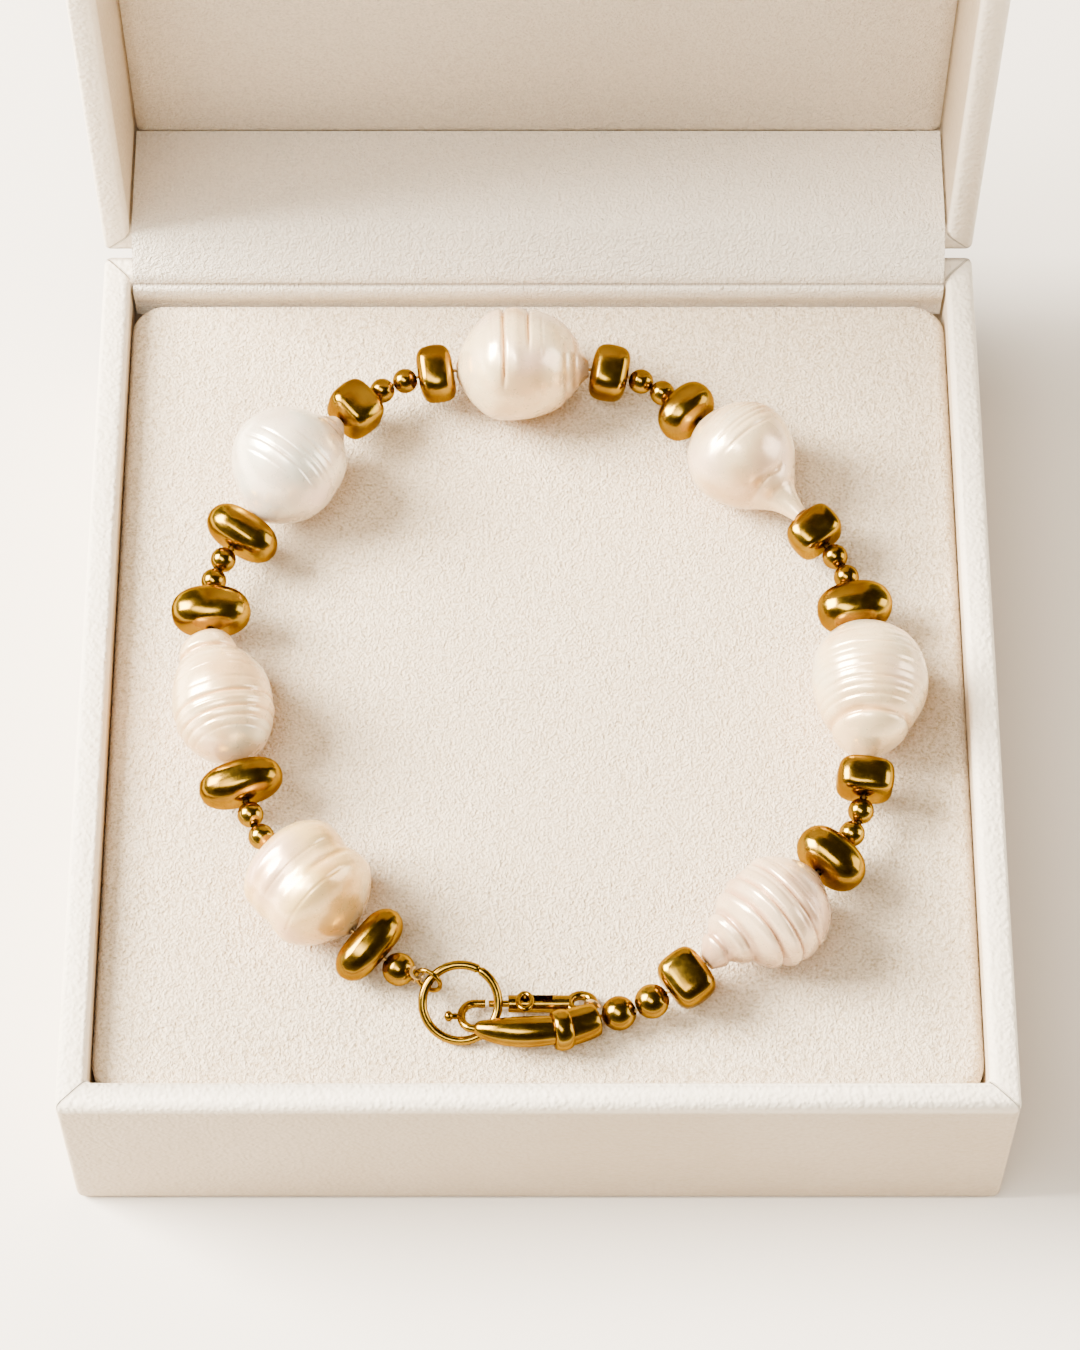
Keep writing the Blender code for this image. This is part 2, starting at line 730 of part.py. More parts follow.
def make_clasp(parts, gold):
    """In the clasp's own frame X runs to the tail and Y to the back limb, with the collar at 0."""
    place = Matrix.Translation(CLASP_PLACE) @ Matrix.Rotation(CLASP_ROLL, 4, "X")
    nose = -CLASP_LENGTH
    limb_shape = [
        (0.00, 0.00, 0.96),
        (0.15, -0.02, 0.97),
        (0.30, -0.07, 1.00),
        (0.50, -0.08, 1.00),
        (0.70, -0.05, 0.95),
        (0.85, 0.00, 0.84),
        (0.94, 0.05, 0.66),
        (0.99, 0.08, 0.40),
    ]
    limb_points = [place @ Vector((nose * x, CLASP_WIDTH * y, 0)) for x, y, _ in limb_shape]
    limb = tube("limb", limb_points, [LIMB_THICKNESS / 2 * r for _, _, r in limb_shape], 3)

    hook_half = (CLASP_WIDTH - 0.04 * CLASP_WIDTH) / 2
    hook_turns = [math.radians(-90 + 180 * step / 10) for step in range(11)]
    hook_points = [
        Vector((nose - math.cos(a) * CLASP_WIDTH / 3, CLASP_WIDTH - hook_half + math.sin(a) * hook_half, 0))
        for a in hook_turns
    ]
    hook_end = nose * 0.87
    hook_points = [Vector((nose * 0.93, 0.0, 0)), *hook_points, Vector((hook_end, CLASP_WIDTH, 0))]
    hook = tube("hook", [place @ p for p in hook_points], [HOOK_WIRE / 2] * len(hook_points), 2)

    ball_x = nose - CLASP_WIDTH / 3
    ball_y = CLASP_WIDTH - hook_half
    ball_radius = 0.66 * HOOK_WIRE
    stub_profile = [(-1.5, 0.0), (-1.35, 0.6), (-0.9, 1.0), (-0.3, 0.9), (0.0, 0.55), (1.0, 0.55), (1.0, 0.0)]
    stub_place = place @ Matrix.Translation((ball_x - HOOK_WIRE, ball_y, 0))
    stub = turned("stub", [(x * ball_radius, r * ball_radius) for x, r in stub_profile], 10, stub_place)

    half_collar = COLLAR / 2
    collar_profile = [(-0.50, 0.0), (-0.50, 0.70), (-0.36, 0.92), (0.0, 1.0), (0.36, 0.92), (0.50, 0.72), (0.50, 0.0)]
    lean = Matrix.Rotation(math.radians(14), 4, "Z")
    collar = turned("collar", [(x * half_collar, r * half_collar) for x, r in collar_profile], 16, place @ lean)

    barrel_profile = [(0.1, 0.0), (0.1, 0.92), (1.2, 0.90), (1.85, 0.80), (1.95, 0.70), (1.95, 0.0)]
    barrel_lean = Matrix.Rotation(math.radians(24), 4, "Z")
    barrel = turned("barrel", [(x * half_collar, r * half_collar) for x, r in barrel_profile], 16, place @ barrel_lean)

    eye_radius = (EYE - EYE_WIRE) / 2
    eye_middle = Vector((COLLAR / 2, CLASP_WIDTH, 0))
    eye_points = circle(eye_middle, eye_radius, Vector((1, 0, 0)), Vector((0, 1, 0)), 20)
    eye = tube("eye", [place @ p for p in eye_points], [EYE_WIRE / 2] * 20, closed=True)

    bore = BOLT / 2 + BOLT_FIT
    sleeve = bore + TUBE_WALL
    tube_mouth = nose * 0.61
    tube_back = eye_middle.x - eye_radius
    bolt_tip = hook_end + FIT
    bolt_back = tube_back - BOLT_TRAVEL - 2 * FIT
    back_line = Matrix.Translation((0, CLASP_WIDTH, 0))
    sleeve_profile = [(tube_mouth, bore), (tube_mouth, sleeve), (tube_back, sleeve), (tube_back, 0.0)]
    sleeve_profile += [(tube_back - FIT, 0.0), (tube_back - FIT, bore), (tube_mouth, bore)]
    back_tube = turned("back_tube", sleeve_profile, 12, place @ back_line)

    thumb_x = nose * 0.42
    slot_half = THUMB_WIRE / 2 + BOLT_FIT
    slot = block(
        "slot",
        Vector((thumb_x - slot_half - BOLT_FIT, CLASP_WIDTH - slot_half, 0)),
        Vector((thumb_x + slot_half + BOLT_FIT + BOLT_TRAVEL, CLASP_WIDTH + slot_half, 2 * sleeve)),
    )
    slot.matrix_world = place @ Matrix.Translation(slot.location)
    slotted = back_tube.modifiers.new("slot", "BOOLEAN")
    slotted.operation = "DIFFERENCE"
    slotted.object = slot
    slotted_mesh = evaluated_mesh(back_tube)
    bpy.data.objects.remove(slot, do_unlink=True)
    back_tube = object_from("back_tube", slotted_mesh)

    body = soldered("clasp_body", [collar, limb, barrel, hook, stub, eye, back_tube], place)
    finish(body, parts, gold)

    rod_profile = [(bolt_tip, 0.0), (bolt_tip, BOLT / 2), (bolt_back, BOLT / 2), (bolt_back, 0.0)]
    rod = turned("rod", rod_profile, 10, place @ back_line)
    thumb_height = sleeve + BOLT_FIT + THUMB_WIRE / 2
    thumb_middle = Vector((thumb_x, CLASP_WIDTH, thumb_height))
    stem_points = [Vector((thumb_x, CLASP_WIDTH, 0)), thumb_middle + Vector((0, 0, THUMB_WIRE / 4))]
    stem = tube("stem", [place @ p for p in stem_points], [THUMB_WIRE / 2] * 2)
    loop_middle = thumb_middle - Vector((0, THUMB_LOOP, 0))
    loop_points = circle(loop_middle, THUMB_LOOP, Vector((0.6, 0, 0)), Vector((0, 1, 0)), 14)
    loop = tube("thumb_loop", [place @ p for p in loop_points], [THUMB_WIRE / 2] * 14, closed=True)
    bolt = soldered("clasp_bolt", [rod, stem, loop], place)
    finish(bolt, parts, gold)

    pull = Vector((math.cos(EYE_PULL), math.sin(EYE_PULL), 0))
    along = Vector((-pull.y, pull.x, 0))
    return place @ (eye_middle + pull * eye_radius), place.to_3x3() @ along


def main():
    clear_scene()
    parts = new_collection("pearl_bracelet_in_box")
    cutters = new_collection("cutters")
    gold = material("polished gold", (0.62, 0.38, 0.10), 0.16, 1.0)
    nacre = material("nacre", (0.93, 0.87, 0.82), 0.25, 0.0)
    steel = material("steel wire", (0.45, 0.36, 0.20), 0.35, 1.0)
    cover = material("ivory leatherette", (0.84, 0.80, 0.75), 0.55, 0.0)
    cloth = material("ivory suede", (0.76, 0.70, 0.62), 0.95, 0.0)
    make_case(parts, cutters, cover, cloth)
    make_lid(parts, cutters, cover, cloth)
    places = make_string(parts, gold, nacre)
    eye_side, eye_along = make_clasp(parts, gold)
    ring_side, ring_along = make_rings(parts, gold)
    eye_turn = EYE_WIRE / 2 + WIRE / 2 + WIRE_SLACK
    ring_turn = SMALL_RING_WIRE / 2 + WIRE / 2 + WIRE_SLACK
    first = hook_round(eye_side, eye_turn, places[0][0], eye_along)[::-1]
    last = hook_round(ring_side, ring_turn, places[-1][1], ring_along)
    make_wire(places, first, last, parts, steel)


main()
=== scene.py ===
"""Pearl and gold bead bracelet lying in its hinged box: the looks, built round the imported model.

Metres, +Z up. +X runs to the right and +Y back to the hinge. The box stands on z = 0.
"""

import math
from collections import namedtuple

import bmesh
import bpy
from mathutils import Matrix, Vector, noise


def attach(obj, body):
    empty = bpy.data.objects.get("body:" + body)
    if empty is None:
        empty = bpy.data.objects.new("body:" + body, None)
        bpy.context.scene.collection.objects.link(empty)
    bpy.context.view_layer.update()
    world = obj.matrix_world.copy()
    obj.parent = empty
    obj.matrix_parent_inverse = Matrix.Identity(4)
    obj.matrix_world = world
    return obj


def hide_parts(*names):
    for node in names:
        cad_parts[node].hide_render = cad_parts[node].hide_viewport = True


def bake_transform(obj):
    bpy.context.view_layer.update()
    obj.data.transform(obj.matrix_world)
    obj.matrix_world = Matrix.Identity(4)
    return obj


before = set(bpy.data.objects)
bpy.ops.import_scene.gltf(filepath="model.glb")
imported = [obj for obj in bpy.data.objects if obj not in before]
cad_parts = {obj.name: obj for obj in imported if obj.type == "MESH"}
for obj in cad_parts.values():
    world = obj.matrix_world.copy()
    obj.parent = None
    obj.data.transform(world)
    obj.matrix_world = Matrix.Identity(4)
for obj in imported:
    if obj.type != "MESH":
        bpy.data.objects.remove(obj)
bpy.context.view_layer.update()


# The base of the box: a board tray wrapped in ivory leatherette, with its edges turned over the
# rim and mitred at the four corners. It stands on the table.
CASE_WIDTH = 0.0900
CASE_DEPTH = 0.0955
BASE_HEIGHT = 0.0225
WALL = 0.0028
FLOOR = 0.0025
EDGE_ROUND = 0.00075
LEATHERETTE = (0.650, 0.525, 0.370)
# The colour of the painted highlight along the rim.
LEATHERETTE_RIM_HIGHLIGHT = (0.890, 0.790, 0.640)
LEATHERETTE_SHADE = (0.605, 0.480, 0.325)
LEATHERETTE_DEEP = (0.530, 0.405, 0.262)
# The dark colour of the mitre seams, also used as painted shadow along the hinge gap.
LEATHERETTE_SEAM_AND_SHADE = (0.300, 0.240, 0.170)


class Signal:
    """A socket that takes part in sums: each operator adds its Math node."""

    def __init__(self, tree, socket):
        self.tree = tree
        self.socket = socket

    def math(self, operation, *others):
        terms = dict(enumerate([self, *others]))
        return Finish.add(self.tree, "ShaderNodeMath", {"operation": operation}, terms)

    def __add__(self, other):
        return self.math("ADD", other)

    def __sub__(self, other):
        return self.math("SUBTRACT", other)

    def __mul__(self, other):
        return self.math("MULTIPLY", other)

    def __rsub__(self, other):
        return self.math("MULTIPLY", -1.0).math("ADD", other)

    __radd__ = __add__
    __rmul__ = __mul__


class Finish:
    """A new material with its Principled shader."""

    def __init__(self, name, **constants):
        self.material = bpy.data.materials.new(name)
        self.material.use_nodes = True
        self.tree = self.material.node_tree
        self.surface = self.tree.nodes["Principled BSDF"]
        for socket, value in constants.items():
            self.surface.inputs[socket.replace("_", " ")].default_value = value

    @staticmethod
    def add(tree, kind, settings, values, output=0):
        """A node with its settings made first, then the values or links of its sockets."""
        node = tree.nodes.new(kind)
        for name, value in settings.items():
            setattr(node, name, value)
        for socket, value in values.items():
            if isinstance(value, Signal):
                tree.links.new(value.socket, node.inputs[socket])
            elif isinstance(value, tuple) and len(value) == 3 and node.inputs[socket].type == "RGBA":
                node.inputs[socket].default_value = (*value, 1.0)
            else:
                node.inputs[socket].default_value = value
        return Signal(tree, node.outputs[output])

    def node(self, kind, settings=None, values=None, output=0):
        return self.add(self.tree, kind, settings or {}, values or {}, output)

    def place(self):
        return self.node("ShaderNodeTexCoord", output="Object")

    def noise(self, scale, detail=2.0, roughness=0.5, stretch=None, shift=(0.0, 0.0, 0.0)):
        place = self.place()
        if stretch or any(shift):
            moved = {"Vector": place, "Location": shift, "Scale": stretch or (1.0, 1.0, 1.0)}
            place = self.node("ShaderNodeMapping", {}, moved)
        values = {"Vector": place, "Scale": scale, "Detail": detail, "Roughness": roughness}
        return self.node("ShaderNodeTexNoise", {}, values)

    def cells(self, scale, feature="F1"):
        values = {"Vector": self.place(), "Scale": scale}
        return self.node("ShaderNodeTexVoronoi", {"feature": feature}, values, "Distance")

    def step(self, signal, low, high):
        """0 below low, 1 above high, and smooth between them."""
        values = {"Value": signal, "From Min": low, "From Max": high}
        return self.node("ShaderNodeMapRange", {"interpolation_type": "SMOOTHSTEP"}, values)

    def mix(self, share, first, second):
        return self.node("ShaderNodeMix", {"data_type": "RGBA"}, {0: share, 6: first, 7: second}, 2)

    def feed(self, socket, signal):
        self.tree.links.new(signal.socket, self.surface.inputs[socket])

    def bump(self, height, distance, strength=1.0):
        """The height is in shares of the distance."""
        values = {"Height": height, "Distance": distance, "Strength": strength}
        self.feed("Normal", self.node("ShaderNodeBump", {}, values))


def deselect():
    if bpy.context.object and bpy.context.object.mode != "OBJECT":
        bpy.ops.object.mode_set(mode="OBJECT")
    bpy.ops.object.select_all(action="DESELECT")


def only(obj):
    """Makes the object the only selected one."""
    deselect()
    obj.select_set(True)
    bpy.context.view_layer.objects.active = obj
    return obj


def primitive(name, operator, stretch=(1, 1, 1), **options):
    """A new primitive, named and stretched, with its size and place put into its mesh."""
    deselect()
    operator(**options)
    made = bpy.context.object
    made.scale = stretch
    made.name = name
    made.data.name = name
    bpy.ops.object.transform_apply(location=True, rotation=True, scale=True)
    return made


def select_where(obj, test, kind="faces"):
    """In edit mode, selects the faces, edges or vertices that pass the test, and nothing else."""
    only(obj)
    bpy.ops.object.mode_set(mode="EDIT")
    modes = {"faces": "FACE", "edges": "EDGE", "verts": "VERT"}
    bpy.ops.mesh.select_mode(type=modes[kind])
    bpy.ops.mesh.select_all(action="DESELECT")
    shape = bmesh.from_edit_mesh(obj.data)
    for element in getattr(shape, kind):
        if test(element):
            element.select = True
    shape.select_flush_mode()
    bmesh.update_edit_mesh(obj.data)


def finish_modifier(obj, kind, **settings):
    only(obj)
    modifier = obj.modifiers.new(kind.lower(), kind)
    for name, value in settings.items():
        setattr(modifier, name, value)
    bpy.ops.object.modifier_apply(modifier=modifier.name)


def smooth(obj, angle=35):
    only(obj)
    bpy.ops.object.shade_smooth_by_angle(angle=math.radians(angle))
    deselect()


def dress(obj, finish, body, slot, *nodes):
    """Gives a finished piece its material, its body and the nodes that it stands for."""
    obj.data.materials.clear()
    obj.data.materials.append(finish.material)
    if body:
        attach(obj, body)
    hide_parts(*nodes)
    return obj


def wrapped_tray(name, low, high, mouth, depth):
    """A board tray that opens towards the mouth's direction, with its edges rounded by the wrap."""
    low, high, mouth = Vector(low), Vector(high), Vector(mouth)
    size = high - low
    tray = primitive(name, bpy.ops.mesh.primitive_cube_add, size, size=1, location=(low + high) / 2)
    select_where(tray, lambda face: face.normal.dot(mouth) > 0.9)
    bpy.ops.mesh.inset(thickness=WALL)
    bpy.ops.mesh.extrude_region_move(TRANSFORM_OT_translate={"value": -mouth * depth})
    bpy.ops.object.mode_set(mode="OBJECT")
    finish_modifier(
        tray,
        "BEVEL",
        width=EDGE_ROUND,
        segments=5,
        limit_method="ANGLE",
        angle_limit=math.radians(40),
        harden_normals=True,
    )
    smooth(tray, 50)
    return tray


def leatherette(name, rim_axis, rim_level, middle, hinge):
    """Fine pebbled grain, soft wrinkles, a crease at each mitre, a painted highlight along the rim and a
    painted shadow line along the hinge gap.
    """
    skin = Finish(name, Roughness=0.5, IOR=1.45, Specular_IOR_Level=0.35)
    pebbles = skin.cells(2500.0, "SMOOTH_F1")
    wrinkles = skin.step(skin.cells(900.0, "DISTANCE_TO_EDGE"), 0.0, 0.42)
    creases = skin.noise(1100.0, 3.0, 0.6)
    drift = skin.noise(60.0, 2.0, 0.5)
    axes = skin.node("ShaderNodeSeparateXYZ", {}, {"Vector": skin.place()})
    x, y, z = (Signal(skin.tree, axes.socket.node.outputs[n]) for n in "XYZ")
    along, across = {"Z": (y, z), "Y": (z, y)}[rim_axis]
    reach_x = (CASE_WIDTH / 2) - x.math("ABSOLUTE")
    reach_y = (CASE_DEPTH / 2) - (along - middle).math("ABSOLUTE")
    off_mitre = (reach_x - reach_y).math("ABSOLUTE")
    at_corner = 1.0 - skin.step(reach_x + reach_y, 0.0054, 0.0060)
    at_rim = 1.0 - skin.step((across - rim_level).math("ABSOLUTE"), 0.0008, 0.0016)
    seam = (1.0 - skin.step(off_mitre, 0.00004, 0.00022)) * at_corner * at_rim
    tone = skin.mix(skin.step(drift, 0.35, 0.65), LEATHERETTE, LEATHERETTE_SHADE)
    tone = skin.mix(skin.step(pebbles, 0.2, 0.75) * 0.5, tone, LEATHERETTE_DEEP)
    tone = skin.mix((1.0 - wrinkles) * 0.12, tone, LEATHERETTE_DEEP)
    # Painted highlight: the band along the rim is lightened, as where light catches the rounded edge.
    tone = skin.mix(at_rim * 0.85, tone, LEATHERETTE_RIM_HIGHLIGHT)
    # Painted shadow: a dark line on the base's back edge and the lid's foot, where the hinge gap lies in
    # shade.
    off_hinge = (CASE_DEPTH / 2) - (along - middle) * hinge
    tone = skin.mix((1.0 - skin.step(off_hinge, 0.0003, 0.0010)) * 0.9, tone, LEATHERETTE_SEAM_AND_SHADE)
    skin.feed("Base Color", skin.mix(seam * 0.55, tone, LEATHERETTE_SEAM_AND_SHADE))
    skin.feed("Roughness", skin.step(creases, 0.3, 0.7) * 0.12 + 0.46)
    skin.bump(pebbles * -0.8 + creases * 0.6 + wrinkles * (at_rim * 0.15 + 0.20) - seam * 1.2, 0.00014)
    return skin


half_width, half_depth = CASE_WIDTH / 2, CASE_DEPTH / 2
base = wrapped_tray(
    "base_cover",
    (-half_width, -half_depth, 0),
    (half_width, half_depth, BASE_HEIGHT),
    (0, 0, 1),
    BASE_HEIGHT - FLOOR,
)
dress(base, leatherette("base leatherette", "Z", BASE_HEIGHT, 0.0, 1.0), "case", "leatherette", "case_base")


# The pad: a foam block covered with ivory suede that fills the tray, a little crowned, with its
# edges rolled in at the walls. It is pressed in, and the bracelet lies on it.
PAD_TOP = 0.0197
PAD_REACH = (0.0421, -0.04488, 0.04385)
PAD_EDGE = 0.0010
PAD_CORNER = 0.0034
SUEDE = (0.720, 0.575, 0.390)
SUEDE_LIGHT = (0.860, 0.720, 0.530)
SUEDE_DARK = (0.520, 0.385, 0.230)
# The lighter tone of the painted light laid over the suede.
SUEDE_PAINTED_LIGHT = (0.960, 0.880, 0.760)
# The colour of the painted shadow in a crease.
SUEDE_CREASE_SHADOW = (0.220, 0.150, 0.085)


def suede(name, shift=(0.0, 0.0, 0.0), pale=0.0, crease=None):
    """Short nap: fine fibres, clumps about half a millimetre across and a soft brushed drift, with painted
    light over the whole cloth and a painted shadow along a crease where asked.
    """
    cloth = Finish(name, Roughness=0.92, Sheen_Weight=0.35, Sheen_Roughness=0.45, Specular_IOR_Level=0.15)
    cloth.surface.inputs["Sheen Tint"].default_value = (1.0, 0.94, 0.86, 1.0)
    clumps = cloth.noise(1500.0, 3.0, 0.6, shift=shift)
    fibres = cloth.noise(3600.0, 2.0, 0.6, shift=shift)
    brushed = cloth.noise(95.0, 3.0, 0.6, stretch=(1.0, 0.7, 1.0), shift=shift)
    tone = cloth.mix(cloth.step(fibres, 0.36, 0.50), SUEDE_DARK, SUEDE)
    tone = cloth.mix(cloth.step(fibres, 0.50, 0.66), tone, SUEDE_LIGHT)
    tone = cloth.mix(cloth.step(clumps, 0.42, 0.62) * 0.35, tone, SUEDE_LIGHT)
    tone = cloth.mix(cloth.step(brushed, 0.35, 0.70) * 0.20, tone, SUEDE)
    # Painted light: the whole cloth is lightened towards a lighter tone by this share.
    tone = cloth.mix(cloth.step(clumps, 0.0, 0.1) * pale, tone, SUEDE_PAINTED_LIGHT)
    # Painted shadow: a dark line along the crease, where the cloth bends into shade.
    if crease:
        axes = cloth.node("ShaderNodeSeparateXYZ", {}, {"Vector": cloth.place()})
        off_y, off_z = (Signal(cloth.tree, axes.socket.node.outputs[n]) - at for n, at in zip("YZ", crease))
        off = (off_y * off_y + off_z * off_z).math("SQRT")
        tone = cloth.mix((1.0 - cloth.step(off, 0.00022, 0.00050)) * 0.75, tone, SUEDE_CREASE_SHADOW)
    cloth.feed("Base Color", tone)
    cloth.bump(fibres * 1.2 + clumps * 0.9 + brushed * 0.3, 0.00034)
    return cloth


def covered_pad(name, low, high, columns, rows, crown, edge, corner, seed):
    """A padded block whose top is a fine grid, rounded at its edges and corners, with its walls
    pulled down from the grid's rim and its underside closed."""
    low, high = Vector(low), Vector(high)
    size = high - low
    top = Vector(((low.x + high.x) / 2, (low.y + high.y) / 2, high.z))
    pad = primitive(
        name,
        bpy.ops.mesh.primitive_grid_add,
        (size.x, size.y, 1),
        x_subdivisions=columns,
        y_subdivisions=rows,
        size=1,
        location=top,
    )
    select_where(pad, lambda e: e.is_boundary, "edges")
    bpy.ops.mesh.extrude_region_move(TRANSFORM_OT_translate={"value": (0, 0, -size.z)})
    bpy.ops.mesh.edge_face_add()
    bpy.ops.mesh.select_all(action="SELECT")
    bpy.ops.mesh.normals_make_consistent(inside=False)
    bpy.ops.object.mode_set(mode="OBJECT")
    for vertex in pad.data.vertices:
        x, y = vertex.co.x - top.x, vertex.co.y - top.y
        gap_x, gap_y = size.x / 2 - abs(x), size.y / 2 - abs(y)
        if gap_x < corner and gap_y < corner:
            offset = Vector((corner - gap_x, corner - gap_y))
            reach = max(abs(offset.x), abs(offset.y))
            pull = offset.normalized() * reach if offset.length else offset
            vertex.co.x -= math.copysign(offset.x - pull.x, x)
            vertex.co.y -= math.copysign(offset.y - pull.y, y)
        gap = min(gap_x, gap_y)
        if vertex.co.z > high.z - size.z / 2:
            drop = edge - math.sqrt(max(0.0, edge**2 - max(0.0, edge - gap) ** 2))
            swell = 1 - (max(abs(x) / (size.x / 2), abs(y) / (size.y / 2))) ** 4
            ripple = noise.noise(Vector((x, y, seed)) * 90.0) * 0.6
            vertex.co.z += crown * (swell - 1) * 1.0 - drop + crown * ripple * min(1.0, gap / 0.004) * 0.5
    return pad


pad = covered_pad(
    "suede_pad",
    (-PAD_REACH[0], PAD_REACH[1], FLOOR + 0.0003),
    (PAD_REACH[0], PAD_REACH[2], PAD_TOP),
    150,
    158,
    0.00012,
    PAD_EDGE,
    PAD_CORNER,
    3.0,
)
smooth(pad, 60)
dress(pad, suede("pad suede"), "case", "suede", "case_pad")


# The lid: a shallower tray of the same wrapped board. It stands open at a right angle, held by the
# flap of suede that is its hinge.
LID_HEIGHT = 0.0156
ROOF = 0.0020
HINGE_GAP = 0.0005
LID_FRONT = half_depth + HINGE_GAP / 2
LID_FOOT = BASE_HEIGHT + HINGE_GAP / 2
LID_MIDDLE = LID_FOOT + CASE_DEPTH / 2

lid = wrapped_tray(
    "lid_cover",
    (-half_width, LID_FRONT, LID_FOOT),
    (half_width, LID_FRONT + LID_HEIGHT, LID_FOOT + CASE_DEPTH),
    (0, -1, 0),
    LID_HEIGHT - ROOF,
)
lid_skin = leatherette("lid leatherette", "Y", LID_FRONT, LID_MIDDLE, -1.0)
dress(lid, lid_skin, "lid", "leatherette", "lid_shell")


# The lid's lining: a thin padded panel of the same suede, glued to the inside of the lid's top.
LINING = 0.0007
FIT = 0.0003
panel_face = LID_FRONT + LID_HEIGHT - ROOF - FIT - LINING
panel_half = half_width - WALL - FIT
panel_low = LID_FOOT + WALL + FIT
panel_high = LID_FOOT + CASE_DEPTH - WALL - FIT

panel = covered_pad(
    "lid_lining",
    (-panel_half, panel_low, -LINING),
    (panel_half, panel_high, 0),
    110,
    116,
    0.00008,
    0.0004,
    0.0006,
    7.0,
)
upright = Matrix(((1, 0, 0, 0), (0, 0, -1, 0), (0, 1, 0, 0), (0, 0, 0, 1)))
panel.data.transform(Matrix.Translation((0, panel_face, 0)) @ upright)
smooth(panel, 60)
# The lining's suede is lightened all over with painted light.
dress(panel, suede("lid suede", (0.0, 0.3, 0.1), 0.45), "lid", "suede", "lid_panel")


# The flap: one strip of suede glued to the inside of the lid and to the tray's back wall, with
# its middle free. It is the hinge, and it is what stops the open lid.
FLAP_CLOTH = 0.0005
FLAP_LINE = [
    (0.06060, 0.02625),
    (0.05600, 0.02618),
    (0.05050, 0.02618),
    (0.04870, 0.02600),
    (0.04730, 0.02500),
    (0.04600, 0.02385),
    (0.04520, 0.02305),
    (0.04488, 0.02255),
    (0.04472, 0.02190),
    (0.04468, 0.02128),
    (0.04452, 0.02158),
    (0.04434, 0.02170),
    (0.04414, 0.02150),
    (0.04405, 0.02100),
    (0.04404, 0.02050),
    (0.04412, 0.02000),
    (0.04430, 0.01900),
    (0.04430, 0.01700),
]
# The line of the flap's crease, as y and z, where its painted shadow runs.
FLAP_CREASE = (0.04460, 0.02175)
FLAP_COLUMNS = 96
FLAP_ROWS = 200


def between(start, stop, bend_in, bend_out, part):
    """A point on the cubic from start to stop that leaves and arrives with these bends."""
    square, cube = part**2, part**3
    return (
        start * (2 * cube - 3 * square + 1)
        + bend_in * (cube - 2 * square + part)
        + stop * (3 * square - 2 * cube)
        + bend_out * (cube - square)
    )


def along_line(points, share):
    """The point at a share of a line's length, on a smooth curve through its points."""
    walked = [0.0]
    for before, after in zip(points, points[1:]):
        walked.append(walked[-1] + (after - before).length)
    target = min(max(share, 0.0), 1.0) * walked[-1]
    index = max(i for i in range(len(points) - 1) if walked[i] <= target + 1e-12)
    part = (target - walked[index]) / (walked[index + 1] - walked[index])
    start, stop = points[index], points[index + 1]
    before = points[max(index - 1, 0)]
    after = points[min(index + 2, len(points) - 1)]
    return between(start, stop, (stop - before) / 2, (after - start) / 2, part)


flap = primitive(
    "hinge_flap",
    bpy.ops.mesh.primitive_grid_add,
    (2 * panel_half, 1, 1),
    x_subdivisions=FLAP_COLUMNS,
    y_subdivisions=FLAP_ROWS,
    size=1,
    location=(0, 0, 0),
)
flap_line = [Vector(point) for point in FLAP_LINE]
for vertex in flap.data.vertices:
    place = along_line(flap_line, 0.5 - vertex.co.y)
    sag = noise.noise(Vector((vertex.co.x * 60, place.x * 120, 2.0))) * 0.00007
    vertex.co = (vertex.co.x, place.x - sag * 0.4, place.y + sag)
finish_modifier(flap, "SOLIDIFY", thickness=FLAP_CLOTH, offset=0.0)
smooth(flap, 60)
# The flap's suede is lightened all over with painted light, with a painted shadow in its crease.
flap_suede = suede("flap suede", (0.2, 0.0, 0.4), 0.6, FLAP_CREASE)
dress(flap, flap_suede, None, "suede", "hinge_strip", "lid_hinge_strip")
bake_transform(flap)


# The string's wire: fine gold-toned beading wire that runs through every bead and is looped round
# the clasp's eye and the small ring. Its solid's shape is kept.
wire_finish = Finish("gold-toned wire", Metallic=1.0, Roughness=0.3)
wire_tone = wire_finish.mix(wire_finish.noise(4000.0), (0.50, 0.33, 0.12), (0.34, 0.21, 0.07))
wire_finish.feed("Base Color", wire_tone)
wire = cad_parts["stringing_wire"]
wire.data.materials.clear()
wire.data.materials.append(wire_finish.material)


# How the beads lie: they are strung end to end along a route over the pad, from the clasp's tail
# round to the small ring, and each rests at its own place along it.
PEARL_SIZE = 0.0115
NUGGET_SIZE = 0.0074
SMALL_ROUND = 0.00245
LARGE_ROUND = 0.0032
BEAD_GAP = 0.00030
BORE = 0.0008
LOOP_FRONT = -0.0414836
ROUTE_STEPS = 60

